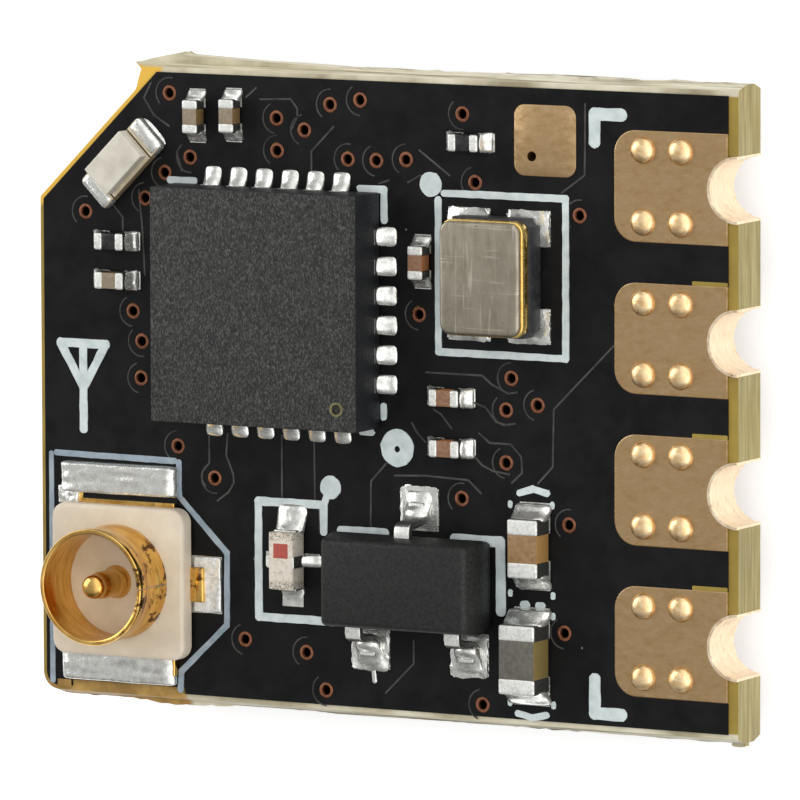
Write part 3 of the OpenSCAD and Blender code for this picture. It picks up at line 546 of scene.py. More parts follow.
colour_by(jack_resin, shades(noise(glass_cloth, 0.5),
    [(0.38, (0.27, 0.15, 0.03)), (0.62, (0.48, 0.29, 0.07))]))
print("board finishes:", lacquer.name, painted_ridge_highlight.name, print_ink.name, glass_cloth.name)

# %% [markdown]
# ### Metals
# Thin gold over copper is mottled and half matt, solder is bright with soft lumps, and the turned
# jack is polished. A metal's colour is the tint of what it mirrors; copper, tin and solder are only
# partly metallic here, because a dull skin lies on them.

# %% Gold, copper, tin and solder
pad_gold = finish("pad_gold", [(0.34, (0.38, 0.25, 0.12)), (0.5, (0.47, 0.315, 0.16)),
    (0.66, (0.58, 0.40, 0.215))], 0.15, (0.5, 0.34), metal=1.0, bump=0.004, stretch=(0.8, 1.3, 1),
    detail=9.0)
# The domes get a much paler gold than the flat pads: a painted highlight.
dome_gold_painted_bright = finish("dome_gold_painted_bright", [(0.35, (0.94, 0.60, 0.28)), (0.6, (1.0, 0.77, 0.45))], 0.09,
    (0.3, 0.4), metal=1.0, bump=0.006)
notch_gold = finish("notch_gold", [(0.29, (0.42, 0.25, 0.10)), (0.34, (0.84, 0.64, 0.42)),
    (0.5, (0.96, 0.78, 0.55)), (0.66, (1.0, 0.86, 0.65))], 0.12, (0.34, 0.46), metal=1.0, bump=0.012,
    stretch=(0.6, 0.6, 3.2))
via_copper = finish("via_copper", [(0.35, (0.16, 0.055, 0.026)), (0.65, (0.28, 0.11, 0.055))], 0.08,
    (0.45, 0.6), metal=0.5, bump=0.003)
# Painted shade: the copper is painted near-black down the hole, where shade falls.
depth = split(millimetres(via_copper))["Z"]
colour_by(ranged(depth, front * 1000 + 0.01, front * 1000 - 0.06), (0.003, 0.002, 0.002))
jack_gold = finish("jack_gold", [(0.35, (0.60, 0.33, 0.07)), (0.65, (0.86, 0.55, 0.17))], 0.4,
    (0.12, 0.24), metal=1.0, bump=0.002, stretch=(1, 1, 5))
colour_by(spots(jack_gold, 0.5, 0.16, 0.09), (0.10, 0.045, 0.02))
# Dark smudges on the shell's right side: partly tarnish, partly a painted dark reflection.
dark_reflection_side = ranged(split(millimetres(jack_gold))["X"], -4.5, -4.3)
smudges_and_dark_reflection = maths("MULTIPLY", dark_reflection_side, ranged(noise(jack_gold, 0.35), 0.52, 0.6))
colour_by(smudges_and_dark_reflection, (0.13, 0.06, 0.02))
tin = finish("tin_plate", [(0.35, (0.62, 0.62, 0.58)), (0.6, (0.92, 0.92, 0.88))], 0.06, (0.5, 0.26),
    metal=0.45, bump=0.006)
# Painted shade: the upright faces of all the tin are painted near-black.
with_sides(tin, (0.055, 0.055, 0.05))
solder = finish("solder", [(0.35, (0.58, 0.58, 0.54)), (0.65, (0.94, 0.94, 0.90))], 0.14, (0.3, 0.14),
    metal=0.78, bump=0.01)
lid_metal = finish("lid_metal", [(0.36, (0.27, 0.24, 0.185)), (0.64, (0.40, 0.36, 0.285))], 0.16,
    (0.5, 0.38), metal=1.0, bump=0.004, stretch=(1, 0.35, 1), detail=7.0)
for run in ((14, 0.6, 1), (0.6, 14, 1)):
    scratch = ranged(noise(lid_metal, 0.7, 2.0, run), 0.60, 0.72, 0, 0.35)
    colour_by(scratch, (0.86, 0.80, 0.68))
colour_by(spots(lid_metal, 0.1, 0.16, 0.016), (0.22, 0.19, 0.14))
seal_gold = finish("seal_gold", [(0.35, (0.86, 0.55, 0.13)), (0.65, (1.0, 0.72, 0.24))], 0.2,
    (0.2, 0.34), metal=1.0, bump=0.003)
print("metals made")

# %% [markdown]
# ### Mouldings and ceramics
# The chips are moulded in dark resin: the tool left a leathery grain on top and smooth sides. Chip
# capacitors are fired clay in browns and greys, and the aerial jack stands in cream plastic.

# %% Resin, ceramic and plastic
chip_resin = finish("chip_resin", [(0.38, (0.010, 0.010, 0.010)), (0.52, (0.027, 0.027, 0.025)),
    (0.66, (0.08, 0.08, 0.075))], 0.036, (0.62, 0.4), specular=0.3, bump=0.014, stretch=(1.5, 0.75, 1),
    detail=3.0)
with_sides(chip_resin, (0.009, 0.010, 0.012))
case_resin = finish("case_resin", [(0.36, (0.007, 0.0075, 0.007)), (0.66, (0.021, 0.022, 0.02))], 0.05,
    (0.58, 0.42), specular=0.3, bump=0.004, detail=3.0)
mark_olive = finish("mark_olive", [(0.35, (0.10, 0.09, 0.03)), (0.65, (0.20, 0.18, 0.07))], 0.05,
    (0.5, 0.6))
dark_ceramic = finish("dark_ceramic", [(0.35, (0.012, 0.0125, 0.014)), (0.65, (0.027, 0.028, 0.030))],
    0.12, (0.5, 0.62), bump=0.003)
cream = finish("cream_plastic", [(0.34, (0.63, 0.54, 0.415)), (0.66, (0.72, 0.63, 0.50))], 0.6,
    (0.46, 0.58), bump=0.003)
white_ceramic = finish("white_ceramic", [(0.34, (0.54, 0.48, 0.37)), (0.5, (0.68, 0.61, 0.52)),
    (0.66, (0.74, 0.68, 0.60))], 0.07, (0.5, 0.65), bump=0.004)
off_filter = maths("ABSOLUTE", maths("ADD", split(millimetres(white_ceramic))["Y"], 2.86))
specks = ranged(noise(white_ceramic, 0.03, 2.0), 0.48, 0.56, 0, 0.75)
colour_by(maths("MULTIPLY", ranged(off_filter, 0.32, 0.38), specks), (0.16, 0.14, 0.10))
red_ink = finish("red_ink", [(0.35, (0.34, 0.055, 0.038)), (0.65, (0.46, 0.085, 0.06))], 0.05,
    (0.5, 0.6))
lens_resin = finish("lens_resin", [(0.34, (0.54, 0.50, 0.42)), (0.66, (0.68, 0.64, 0.55))], 0.3,
    (0.3, 0.42), bump=0.003)
lamp_board = finish("lamp_board", [(0.35, (0.50, 0.42, 0.27)), (0.65, (0.66, 0.58, 0.42))], 0.15,
    (0.5, 0.6))
with_sides(lamp_board, (0.26, 0.2, 0.11))


def fired(name, dark, pale, painted_side, size, rough):
    """A fired ceramic whose upright sides get another colour, as painted light and shade on them."""
    look = finish(name, [(0.35, dark), (0.65, pale)], size, rough, bump=0.002)
    with_sides(look, painted_side)
    return look


# The side colours paint light and shade: darker than the top on the tan kind, lighter on the others.
tan_ceramic = fired("tan_ceramic", (0.215, 0.165, 0.105), (0.29, 0.235, 0.165), (0.17, 0.105, 0.04),
    0.06, (0.45, 0.58))
brown_ceramic = fired("brown_ceramic", (0.20, 0.098, 0.052), (0.29, 0.155, 0.09), (0.42, 0.17, 0.06),
    0.06, (0.45, 0.58))
ochre_ceramic = fired("ochre_ceramic", (0.225, 0.125, 0.048), (0.32, 0.20, 0.09), (0.34, 0.19, 0.06),
    0.08, (0.42, 0.55))
grey_ceramic = fired("grey_ceramic", (0.09, 0.082, 0.066), (0.135, 0.125, 0.103), (0.19, 0.14, 0.045),
    0.08, (0.42, 0.55))
glaze = finish("resistor_glaze", [(0.35, (0.008, 0.008, 0.009)), (0.65, (0.02, 0.02, 0.021))], 0.1,
    (0.2, 0.35), bump=0.002)
print("mouldings and ceramics made")


# %% [markdown]
# ## Handing a piece over
# A finished piece is scaled from millimetres to metres, lifted to the board's front face, and given
# its finish. It then rides on the one body of this object and stands for the nodes that it shows.

# %% Hand over
def hand_over(piece, look, slot, *nodes, angle=35):
    use(piece)
    bpy.ops.object.shade_smooth_by_angle(angle=radians(angle))
    piece.scale = (0.001, 0.001, 0.001)
    piece.location = datum
    settle(piece)
    piece.name = piece.data.name = piece.name.split(".")[0]
    piece.data.materials.clear()
    piece.data.materials.append(look)
    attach(piece, "root")
    if nodes:
        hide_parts(*nodes)
    print(piece.name, len(piece.data.polygons), "faces")
    return piece


def hand_solder(piece, node):
    return hand_over(piece, solder, "solder", node, angle=60)


def dress(node, look):
    """Gives a CAD node that stays on show its finish."""
    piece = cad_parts[node]
    piece.data.materials.clear()
    piece.data.materials.append(look)


for node, look in (("solder_mask_front", lacquer), ("solder_mask_back", lacquer),
        ("legend_back", print_ink), ("radio_chip_terminals", tin), ("mcu_terminals", tin)):
    dress(node, look)

# %% [markdown]
# ## The board
# The board was snapped from a larger sheet along V-shaped score lines, so its two long edges end in
# a thin broken lip. A block gets its lower left corner rounded, the lips are extruded and narrowed,
# the upper left corner is cut off with a bisect, and the lips are roughened. The half-round notches
# and the small plated holes are then drilled with one boolean.

# %% Board blank
half_w, half_h, mid_y, lip = 6.715, 5.4, 0.05, 0.09
board = block("board_blank", (-half_w, mid_y - half_h, board_back), (half_w, mid_y + half_h, 0))
pick(board, "EDGE", lambda a, b: max(a.x, b.x) < 0 and max(a.y, b.y) < 0 and abs(a.z - b.z) > 0.5)
bpy.ops.mesh.bevel(offset=0.3, segments=8, affect="EDGES")
for way in (1, -1):
    pick(board, "FACE", lambda c, n: n.y * way > 0.99)
    pull(0, way * lip, 0)
    bpy.ops.transform.resize(value=(1, 1, 0.375), center_override=(0, 0, board_back / 2))
pick(board, "VERT", lambda co: True)
bpy.ops.mesh.bisect(plane_co=(-half_w, mid_y + half_h - 2.3, 0), plane_no=(-1, 1, 0), use_fill=True,
    clear_outer=True)
on_lip = half_h + 0.05


def far_out(co):
    return abs(co.y - mid_y) > on_lip


pick(board, "EDGE", lambda a, b: far_out(a) and far_out(b) and abs(a.x - b.x) > 3)
bpy.ops.mesh.subdivide(number_cuts=90)
pick(board, "VERT", far_out)
shake(0.025, 4)
fresh()
print("board blank:", [round(v, 2) for v in board.dimensions])

# %% Holes and notches
pad_rows = (3.81, 1.27, -1.27, -3.81)
vias = [(-4.13, 5.02), (-2.04, 4.67), (-2.03, 4.12), (-3.73, 3.94), (-4.23, 3.66), (-5.8, 2.93),
    (-4.87, 1.26), (-4.62, 3.21), (-4.7, 0.75), (-4.72, 0.12), (-1.0, 4.94), (-0.42, 5.04),
    (-1.5, 4.49), (-0.66, 4.03), (-0.11, 4.03), (0.46, 4.07), (1.54, 4.88), (1.78, 3.74), (3.76, 3.27),
    (0.70, 1.47), (-4.0, -1.01), (-3.28, -1.52), (-2.7, -4.25), (-1.5, -4.4), (-1.12, -5.02),
    (1.9, -5.07), (1.51, -1.6), (2.36, -0.95), (2.46, 0.48), (2.36, -0.06), (2.96, 0.05),
    (3.55, -1.93), (3.46, -3.76)]
boot_hole = (2.865, 4.225)
drills = [rod("drill", 0.56, -1.5, 0.5, (half_w, y), 48) for y in pad_rows]
drills += copies(rod("drill", 0.13, -1.5, 0.5, sides=20), [(x, y, 0) for x, y in vias + [boot_hole]])
carve(board, drills)


def roughened(pieces, far, seed):
    """Cuts every edge of some pieces in three and shakes the points."""
    for i, piece in enumerate(pieces):
        pick(piece, "EDGE", lambda a, b: True)
        bpy.ops.mesh.subdivide(number_cuts=2)
        shake(far, seed + i)
    return pieces


splinter = [(-4.86, 4.95), (-4.80, 5.10), (-4.69, 5.46), (-4.3, 5.46), (-4.3, 5.2)]
tongue = [(-4.93, 5.50), (-4.5, 5.60), (-4.02, 5.70), (-3.94, 5.65), (-3.3, 5.62), (-1.8, 5.58),
    (-0.4, 5.53), (-0.4, 5.42), (-3.9, 5.40), (-4.3, 5.35), (-4.6, 5.2)]
wave = [(-5.95, -5.36), (-5.4, -5.43), (-4.9, -5.45), (-4.5, -5.48), (-4.2, -5.51), (-4.0, -5.48),
    (-3.7, -5.5), (-3.5, -5.46), (-3.2, -5.47), (-2.6, -5.38)]
nib = roughened([cut_out("nib", splinter, -0.2, -0.005), cut_out("nib", tongue, -0.55, -0.2)], 0.012, 8)
burrs = roughened([cut_out("burr", wave, -0.5, -0.2),
    block("burr", (6.45, -5.51, -0.5), (6.66, -5.38, -0.3))], 0.02, 20)
board = join("board_blank", [board, *nib, *burrs])
hand_over(board, glass_cloth, "laminate", "board_laminate")

# %% [markdown]
# ## Plated holes and raised tracks
# Each small hole is a copper tube that ends in a ring. Round it the lacquer lies over a copper disc,
# whose raised edge shows as a thin arc; the arc's paler finish is a painted highlight. The tracks under
# the lacquer show in the same way, as fine ridges with the same painted highlight. Rings and arcs are
# spun once and copied, and a ridge is a circle pulled out to a long round-ended stroke and lifted a
# little.

# %% Via rings and arcs
ring = turned("via_ring", [(0.085, -0.79), (0.085, 0.034), (0.095, 0.042), (0.115, 0.042),
    (0.13, 0.034), (0.135, 0.02), (0.135, -0.79), (0.085, -0.79)], steps=24)
via_rings = join("via_rings", copies(ring, [(x, y, 0) for x, y in vias]))
hand_over(via_rings, via_copper, "copper", "via_barrels")
arc = turned("via_arc", [(0.245, 0.026), (0.252, 0.037), (0.27, 0.037), (0.278, 0.026)], steps=14,
    sweep=150, start=255)
ridges = copies(arc, [(x, y, (i * 37) % 60 - 30) for i, (x, y) in enumerate(vias)])


# %% Strokes
def stroke(a, b, width, low, high, wobble=0.0, seed=0):
    """A round-ended line from a to b between two heights; where lines cross, one is higher."""
    a, b = Vector(a), Vector(b)
    run = b - a
    fresh()
    bpy.ops.mesh.primitive_circle_add(vertices=16, radius=width / 2, fill_type="NGON")
    piece = named("stroke")
    pick(piece, "VERT", lambda co: co.x > -1e-5)
    bpy.ops.transform.translate(value=(run.length, 0, 0))
    if wobble:
        cuts = int(run.length / 0.14)
        if cuts:
            pick(piece, "EDGE", lambda p, q: abs(p.x - q.x) > run.length * 0.9)
            bpy.ops.mesh.subdivide(number_cuts=cuts)
        select_all()
        shake(wobble, seed)
        bpy.ops.transform.resize(value=(1, 1, 0), center_override=(0, 0, 0))
    select_all()
    lift = 0.0005 * (seed % 7)
    pull(0, 0, high - low + lift)
    select_all()
    bpy.ops.mesh.normals_make_consistent(inside=False)
    piece.rotation_euler.z = run.to_2d().angle_signed(Vector((1, 0))) if run.length > 1e-6 else 0
    piece.location = (*a, low)
    return settle(piece)


def path(points, width, low, high, wobble=0.0, seed=0):
    legs = enumerate(zip(points, points[1:]))
    return [stroke(a, b, width, low, high, wobble, seed + i) for i, (a, b) in legs]


tracks = [[(3.87, 5.14), (3.86, 3.95), (3.43, 3.64)],
    [(4.42, 1.14), (3.27, 0.0), (3.25, -0.97), (2.97, -1.26)], [(-1.96, -0.72), (-1.96, -2.0)],
    [(-1.33, -0.75), (-1.32, -1.76), (-1.23, -1.98), (-1.23, -2.27)],
    [(-3.38, -0.75), (-3.38, -1.26), (-3.52, -1.43), (-3.53, -1.55), (-3.46, -1.67)],
    [(-3.02, -0.75), (-3.05, -1.11), (-2.91, -1.44), (-2.9, -1.58), (-3.01, -1.75), (-3.22, -1.9)],
    [(-0.24, -2.15), (-0.23, -1.4), (0.06, -1.09)], [(0.58, -4.07), (0.58, -4.46), (0.04, -4.99)],
    [(0.84, 0.5), (1.91, 0.5), (2.09, 0.36), (2.41, 0.22), (2.57, 0.25)],
    [(1.73, 0.04), (1.97, -0.03), (2.17, -0.27), (2.35, -0.31), (2.53, -0.28)],
    [(0.98, -0.12), (1.12, -0.19), (1.32, -0.42)], [(0.56, -0.37), (0.66, -0.53), (0.82, -0.68)],
    [(1.85, -0.48), (2.05, -0.63), (2.45, -0.63), (2.65, -0.83), (2.67, -1.1), (2.47, -1.28)],
    [(1.7, -0.81), (1.9, -1.01), (2.11, -1.1), (2.43, -1.14)],
    [(0.23, -1.28), (0.84, -1.25), (1.64, -1.28), (1.88, -1.49)], [(-2.62, 5.01), (-2.43, 5.17)],
    [(-2.35, 4.98), (-1.76, 5.01), (-1.63, 4.85), (-1.63, 4.72), (-1.74, 4.5)],
    [(-0.93, 4.57), (-1.36, 4.14), (-1.36, 3.82)], [(0.72, 4.24), (1.3, 3.84)],
    [(-0.05, 3.65), (0.13, 3.71)], [(0.5, 3.69), (0.74, 3.82)],
    [(-4.49, 5.18), (-4.63, 4.92), (-4.43, 4.63), (-4.14, 4.46)], [(-3.99, 4.02), (-3.89, 3.7)],
    [(-4.74, 3.34), (-4.68, 2.76), (-4.63, 1.89)], [(-5.24, 3.06), (-5.06, 2.86), (-5.06, 2.64)]]
for i, route in enumerate(tracks):
    ridges += path(route, 0.034, 0.026, 0.036, seed=3 * i)
hand_over(join("track_ridges", ridges), painted_ridge_highlight, "mask")

# %% [markdown]
# ## Printed legend
# White ink is screened on last, and its edges creep. Each line is a stroke whose long sides are
# subdivided and shaken a little, then lifted by the thickness of the ink. The bare plate above the
# jack carries a plain aerial sign.

# %% Legend lines
ink = (0.029, 0.043)
lines = [(0.13, [(1.2, 3.54), (3.5, 3.54), (3.5, 0.86), (1.08, 0.86), (1.08, 3.42)]),
    (0.13, [(-0.42, 3.55), (0.04, 3.55), (0.04, 3.03)]), (0.12, [(0.02, -0.12), (0.02, -0.30)]),
    (0.12, [(-0.40, -0.57), (-0.21, -0.57)]), (0.13, [(-4.12, 3.54), (-3.65, 3.54)]),
    (0.15, [(-1.15, -2.31), (-1.15, -1.86), (-2.42, -1.86), (-2.42, -3.84), (-0.85, -3.84)]),
    (0.13, [(-1.05, -1.62), (-1.13, -1.82)]), (0.16, [(-0.81, -2.27), (0.04, -2.27)]),
    (0.19, [(1.38, -2.29), (2.25, -2.29), (2.26, -3.46)]),
    (0.22, [(4.05, 4.52), (4.05, 4.98), (4.55, 4.98)]),
    (0.22, [(4.04, -4.5), (4.04, -5.07), (4.54, -5.07)]), (0.13, [(2.69, -3.32), (2.75, -3.32)]),
    (0.13, [(2.98, -3.32), (3.04, -3.32)]), (0.12, [(2.62, -1.44), (2.87, -1.36), (3.14, -1.42)]),
    (0.12, [(2.58, -5.17), (2.84, -5.23), (3.12, -5.17)]), (0.16, [(-5.86, -0.81), (-5.86, 0.66)]),
    (0.16, [(-5.86, -0.1), (-6.31, 0.66), (-5.41, 0.66), (-5.86, -0.1)])]
for x, y in ((2.44, -1.64), (3.24, -1.62), (2.44, -3.14), (3.25, -3.14), (3.25, -3.49), (2.43, -4.99),
        (3.26, -4.99)):
    lines.append((0.09, [(x, y - 0.02), (x, y + 0.02)]))
around_jack = [(0.10, [(-6.51, -1.27), (-6.51, -5.2)]), (0.11, [(-6.40, -1.25), (-4.06, -1.27)]),
    (0.11, [(-3.98, -1.29), (-3.98, -1.87), (-3.04, -2.79), (-3.05, -4.03), (-3.95, -4.88),
    (-3.97, -5.2)])]
thin_lines = []
for i, (width, points) in enumerate(around_jack):
    thin_lines += path(points, width, *ink, wobble=0.007, seed=400 + 10 * i)
hand_over(join("jack_outline", thin_lines), thin_ink, "legend", angle=60)
printed = []
for i, (width, points) in enumerate(lines):
    printed += path(points, width, *ink, wobble=0.009, seed=10 * i)


# %% Legend dots
def ink_spot(at, radius, seed):
    """A round spot with an uneven rim."""
    fresh()
    bpy.ops.mesh.primitive_circle_add(vertices=22, radius=radius, fill_type="NGON",
        location=(*at, ink[0]))
    piece = settle(named("spot"))
    bpy.ops.object.mode_set(mode="EDIT")
    select_all()
    shake(0.014, seed)
    bpy.ops.transform.resize(value=(1, 1, 0), center_override=(*at, ink[0]))
    pull(0, 0, ink[1] - ink[0] + 0.004)
    select_all()
    bpy.ops.mesh.normals_make_consistent(inside=False)
    fresh()
    return piece


target = carve(ink_spot((0.28, -0.81), 0.32, 3), [rod("drill", 0.055, 0, 0.1, (0.28, -0.83), 14)])
printed += [target, ink_spot((0.94, 3.68), 0.21, 5), ink_spot((-1.01, -1.55), 0.2, 6)]
hand_over(join("printed_legend", printed), print_ink, "legend", "legend_front", angle=60)

# %% [markdown]
# ## Gold pads
# Four pads run to the right edge, each with a plated half-round notch, so that a wire can be soldered
# to it, and four plugged holes whose plating stands up as small domes. One pad is made with its back
# side and copied to the other three rows.

# %% Edge pads
pad_right, pad_half, plating = 6.535, 0.935, 0.04


def edge_plate(name, left, low, high):
    """A plate that runs to the right edge, with two rounded corners and a half-round notch."""
    piece = block(name, (left, -pad_half, low), (pad_right, pad_half, high))
    pick(piece, "EDGE", lambda a, b: (a.xy - b.xy).length < 1e-4 and a.x < left + 0.5)
    bpy.ops.mesh.bevel(offset=0.4, segments=10, affect="EDGES")
    return carve(piece, [rod("drill", 0.53, -2, 1, (half_w, 0), 64)])


pad = soften(edge_plate("edge_pad", 4.415, 0, 0.045), 0.018, 2)
under = edge_plate("under_pad", 5.035, board_back - plating, board_back)
rows = [(0, y, 0) for y in pad_rows]
pads = copies(join("pad", [pad, under]), rows)

wall = rod("notch_wall", 0.565, board_back - plating, 0.047, (half_w, 0), 72)
pick(wall, "EDGE", lambda a, b: abs(a.z - b.z) > 0.5)
bpy.ops.mesh.subdivide(number_cuts=6)
carve(wall, [rod("drill", 0.515, -2, 1, (half_w, 0), 72)])
pick(wall, "VERT", lambda co: (co.xy - Vector((half_w, 0))).length < 0.53)
shake(0.012, 11)
pick(wall, "VERT", lambda co: True)
bpy.ops.mesh.bisect(plane_co=(half_w - 0.005, 0, 0), plane_no=(1, 0, 0), use_fill=True,
    clear_outer=True)
fresh()

dome = turned("pad_dome", [(0.225, 0.02), (0.222, 0.06), (0.196, 0.115), (0.135, 0.15), (0.058, 0.162),
    (0, 0.163)], steps=28)
domes = join("domes", copies(dome, [(x, y, 40 * x) for x in (4.955, 5.66) for y in (-0.6, 0.6)]))
for i, (one, shine, notch) in enumerate(zip(pads, copies(domes, rows), copies(wall, rows)), start=1):
    one.name, shine.name, notch.name = f"edge_pad_gold_{i}", f"pad_domes_{i}", f"notch_wall_{i}"
    hand_over(one, pad_gold, "gold_plate", f"edge_pad_{i}", angle=20)
    hand_over(shine, dome_gold_painted_bright, "gold_plate", angle=50)
    hand_over(notch, notch_gold, "gold_plate", angle=50)

slivers = [slab("sliver", (0.66, 0.075), 0.0, 0.0335, 0.02, 0, (6.2, y + 0.965)) for y in pad_rows[1:]]
slivers.append(slab("sliver", (0.27, 0.12), 0.0, 0.0335, 0.02, 0, (-6.285, -5.225)))
hand_over(join("bare_slivers", slivers), glass_cloth, "laminate")

# %% Boot pad
boot = slab("boot_pad_gold", (1.17, 1.2), 0, 0.045, 0.2, 0.012, (3.115, 4.495), 2)
carve(boot, [rod("drill", 0.085, -1, 1, boot_hole, 24)])
tube = turned("tube", [(0.085, -0.79), (0.085, 0.02), (0.13, 0.02), (0.13, -0.79), (0.085, -0.79)],
    boot_hole, 24)
hand_over(join("boot_pad_gold", [boot, tube]), pad_gold, "gold_plate", "boot_pad")

# %% [markdown]
# ## Solder fillets
# Molten solder wets a metal end and its land and sets in a hollow curve between them. A small block
# is extruded outwards in steps that get lower, it is shaken a little so that no two look alike, and
# two subdivisions melt it to a round mound. Under it the land itself is tinned.

# %% Solder helper
def fillet(width, reach, climb, seed, under=0.08):
    """Solder that runs along +Y from a metal end at y = 0 out over its land."""
    foot = -0.05
    piece = block("fillet", (-width * 0.58, -under, foot), (width * 0.58, 0, climb * 1.1))
    pick(piece, "FACE", lambda c, n: n.y > 0.9)
    for go, low, wide in ((0.22, 0.72, 1.04), (0.34, 0.72, 1.04), (0.34, 0.85, 0.98),
            (0.16, 0.7, 0.86)):
        pull(0, go * reach, 0)
        bpy.ops.transform.resize(value=(wide, 1, low), center_override=(0, 0, foot))
    pick(piece, "VERT", lambda co: co.z > foot + 0.01)
    shake(0.014, seed)
    fresh()
    return subdivided(piece, 2)


def fillets_at(places, width, reach, climb, seed, under=0.08):
    """A fillet at each (x, y, degrees), each of them shaken in its own way."""
    made = []
    for i, place in enumerate(places):
        made += copies(fillet(width, reach, climb, seed + i, under), [place])
    return made


def chip_fillets(length, width, climb, reach, seed):
    """The two fillets of a chip that lies along X."""
    ends = [(length / 2, 0, -90), (-length / 2, 0, 90)]
    return fillets_at(ends, width * 1.08, reach, climb, seed)


def tinned_land(size, at):
    """A thin plate of tin under the lacquer's opening, with a hidden margin all round."""
    return slab("land", (size[0] + 0.08, size[1] + 0.08), -0.01, 0.027, at=at)


print("fillets ready")


# %% [markdown]
# ## Radio chip
# A flat moulded package, four millimetres square, with six metal terminals on each side. The terminals
# stay as they are, the body gets its softened edges and a dimple that marks the first pin, and a
# fillet is set before every terminal.

# %% Radio chip body
def row_places(centre, half, pitch, count):
    """Places round a square package, each turned outwards."""
    x0, y0 = centre
    steps = [(i - (count - 1) / 2) * pitch for i in range(count)]
    places = [(x0 + s, y0 + half, 0) for s in steps] + [(x0 + s, y0 - half, 180) for s in steps]
    return places + [(x0 + half, y0 + s, -90) for s in steps] + [(x0 - half, y0 + s, 90) for s in steps]


radio_at = (-2.025, 1.505)
dimple = near(radio_at, 1.615, -1.615)
radio = slab("radio_case", (3.99, 3.99), 0.07, 0.91, 0.03, 0.02, radio_at, 2)
carve(radio, [rod("drill", 0.085, 0.88, 1.2, dimple, 24)])
hand_over(radio, chip_resin, "mould", "radio_chip_body")
mark = turned("first_pin_ring", [(0.085, 0.9), (0.085, 0.914), (0.125, 0.914), (0.125, 0.9)], dimple,
    24)
hand_over(mark, mark_olive, "legend")

# %% Radio chip solder
radio_places = row_places(radio_at, 2.0, 0.5, 6)
radio_solder = fillets_at(radio_places, 0.3, 0.3, 0.2, 100, 0.06)
radio_solder += copies(tinned_land((0.3, 0.36), (0, 0.14)), radio_places)
hand_solder(join("radio_fillets", radio_solder), "radio_chip_solder")

# %% [markdown]
# ## Oscillator
# A small ceramic tub, a gold-plated seal ring and a flat metal lid welded on. It is three slabs with
# rounded corners, one on the other, and the tub has a quarter-round notch at each corner. Four ragged
# patches of solder show at the corners.

# %% Oscillator stack
def notched_tub(name, at=(0, 0)):
    """A ceramic tub with a quarter-round notch at each corner."""
    tub = slab(name, (1.6, 2.0), 0.05, 0.45, 0, 0.015, at, 2)
    corners = [near(at, 0.8 * sx, sy) for sx in (1, -1) for sy in (1, -1)]
    return carve(tub, [rod("drill", 0.13, -1, 1, corner, 24) for corner in corners])


osc_at = (2.240, 2.200)
hand_over(notched_tub("oscillator_tub", osc_at), dark_ceramic, "dark_ceramic", "oscillator_base")
seal = slab("oscillator_seal", (1.55, 1.95), 0.445, 0.66, 0.2, 0.02, osc_at, 3)
hand_over(seal, seal_gold, "seal_gold", "oscillator_seal_ring")
lid = slab("oscillator_cover", (1.51, 1.91), 0.645, 0.77, 0.19, 0.08, osc_at, 5)
hand_over(lid, lid_metal, "lid_metal", "oscillator_lid")


# %% Oscillator solder
def ragged_patch(size, at, top, seed):
    """A flat patch of solder with an uneven rim."""
    piece = slab("patch", size, -0.02, top, 0.1, 0, at)
    pick(piece, "EDGE", lambda a, b: abs(a.z - b.z) < 1e-4 and (a - b).length > 0.2)
    bpy.ops.mesh.subdivide(number_cuts=6)
    pick(piece, "VERT", lambda co: True)
    shake(0.025, seed)
    fresh()
    return soften(piece, 0.02, 2, 40)


patches = []
for i, (sx, sy) in enumerate(((1, 1), (1, -1), (-1, 1), (-1, -1))):
    centre = near(osc_at, sx * (0.8 + 0.17 - 0.4), sy * (1.0 + 0.12 - 0.3))
    patches += [ragged_patch((0.8, 0.6), centre, 0.075, 40 + i), tinned_land((0.8, 0.6), centre)]
hand_solder(join("oscillator_patches", patches), "oscillator_solder")

# %% [markdown]
# ## Aerial jack
# A push-fit coaxial jack: a cream plastic base, a gold tube with a groove that the plug snaps over,
# and a pin in the middle. The tube and the pin are turned shapes, so their profiles are drawn and spun,
# and the tube's seam is a thin slit. Its tabs come out of the base at two sides and the pin's tail at
# the third, and solder holds all three.

# %% Jack base, shell and pin
jack_at = (-5.01, -3.36)
jack_base = slab("jack_base", (2.6, 2.6), 0.05, 0.40, 0.25, 0.07, jack_at, 4)
hand_over(jack_base, cream, "cream_plastic", "antenna_jack_base")
shell = turned("jack_shell", [(0.91, 0.36), (0.985, 0.36), (0.99, 0.42), (0.985, 0.52), (0.965, 0.60),
    (0.945, 0.68), (0.94, 0.80), (0.945, 0.96), (0.965, 1.04), (0.99, 1.10), (1.0, 1.16), (1.0, 1.27),
    (0.992, 1.29), (0.98, 1.30), (0.935, 1.30), (0.918, 1.292), (0.91, 1.27), (0.91, 0.36)], jack_at,
    96)
slit = block("slit", (0.88, -0.012, 0.3), (1.2, 0.012, 1.4))
carve(shell, copies(slit, [(*jack_at, 1)]))
tabs = [slab("tab", (2.0, 0.5), 0.05, 0.17, 0, 0.02, near(jack_at, 0, s * 1.35)) for s in (1, -1)]
hand_over(join("jack_shell", [shell, *tabs]), jack_gold, "shell_gold", "antenna_jack_shell")
pin = turned("jack_pin", [(0.29, 0.39), (0.28, 0.44), (0.25, 0.48), (0.235, 0.53), (0.235, 0.94),
    (0.222, 1.0), (0.2, 1.05), (0.198, 1.10), (0.207, 1.16), (0.195, 1.22), (0.16, 1.263),
    (0.1, 1.284), (0.04, 1.29), (0, 1.29)], jack_at, 40)
tail = slab("tail", (0.3, 0.6), 0.05, 0.14, 0, 0.03, near(jack_at, 1.4))
hand_over(join("jack_pin", [pin, tail]), jack_gold, "shell_gold", "antenna_jack_pin")


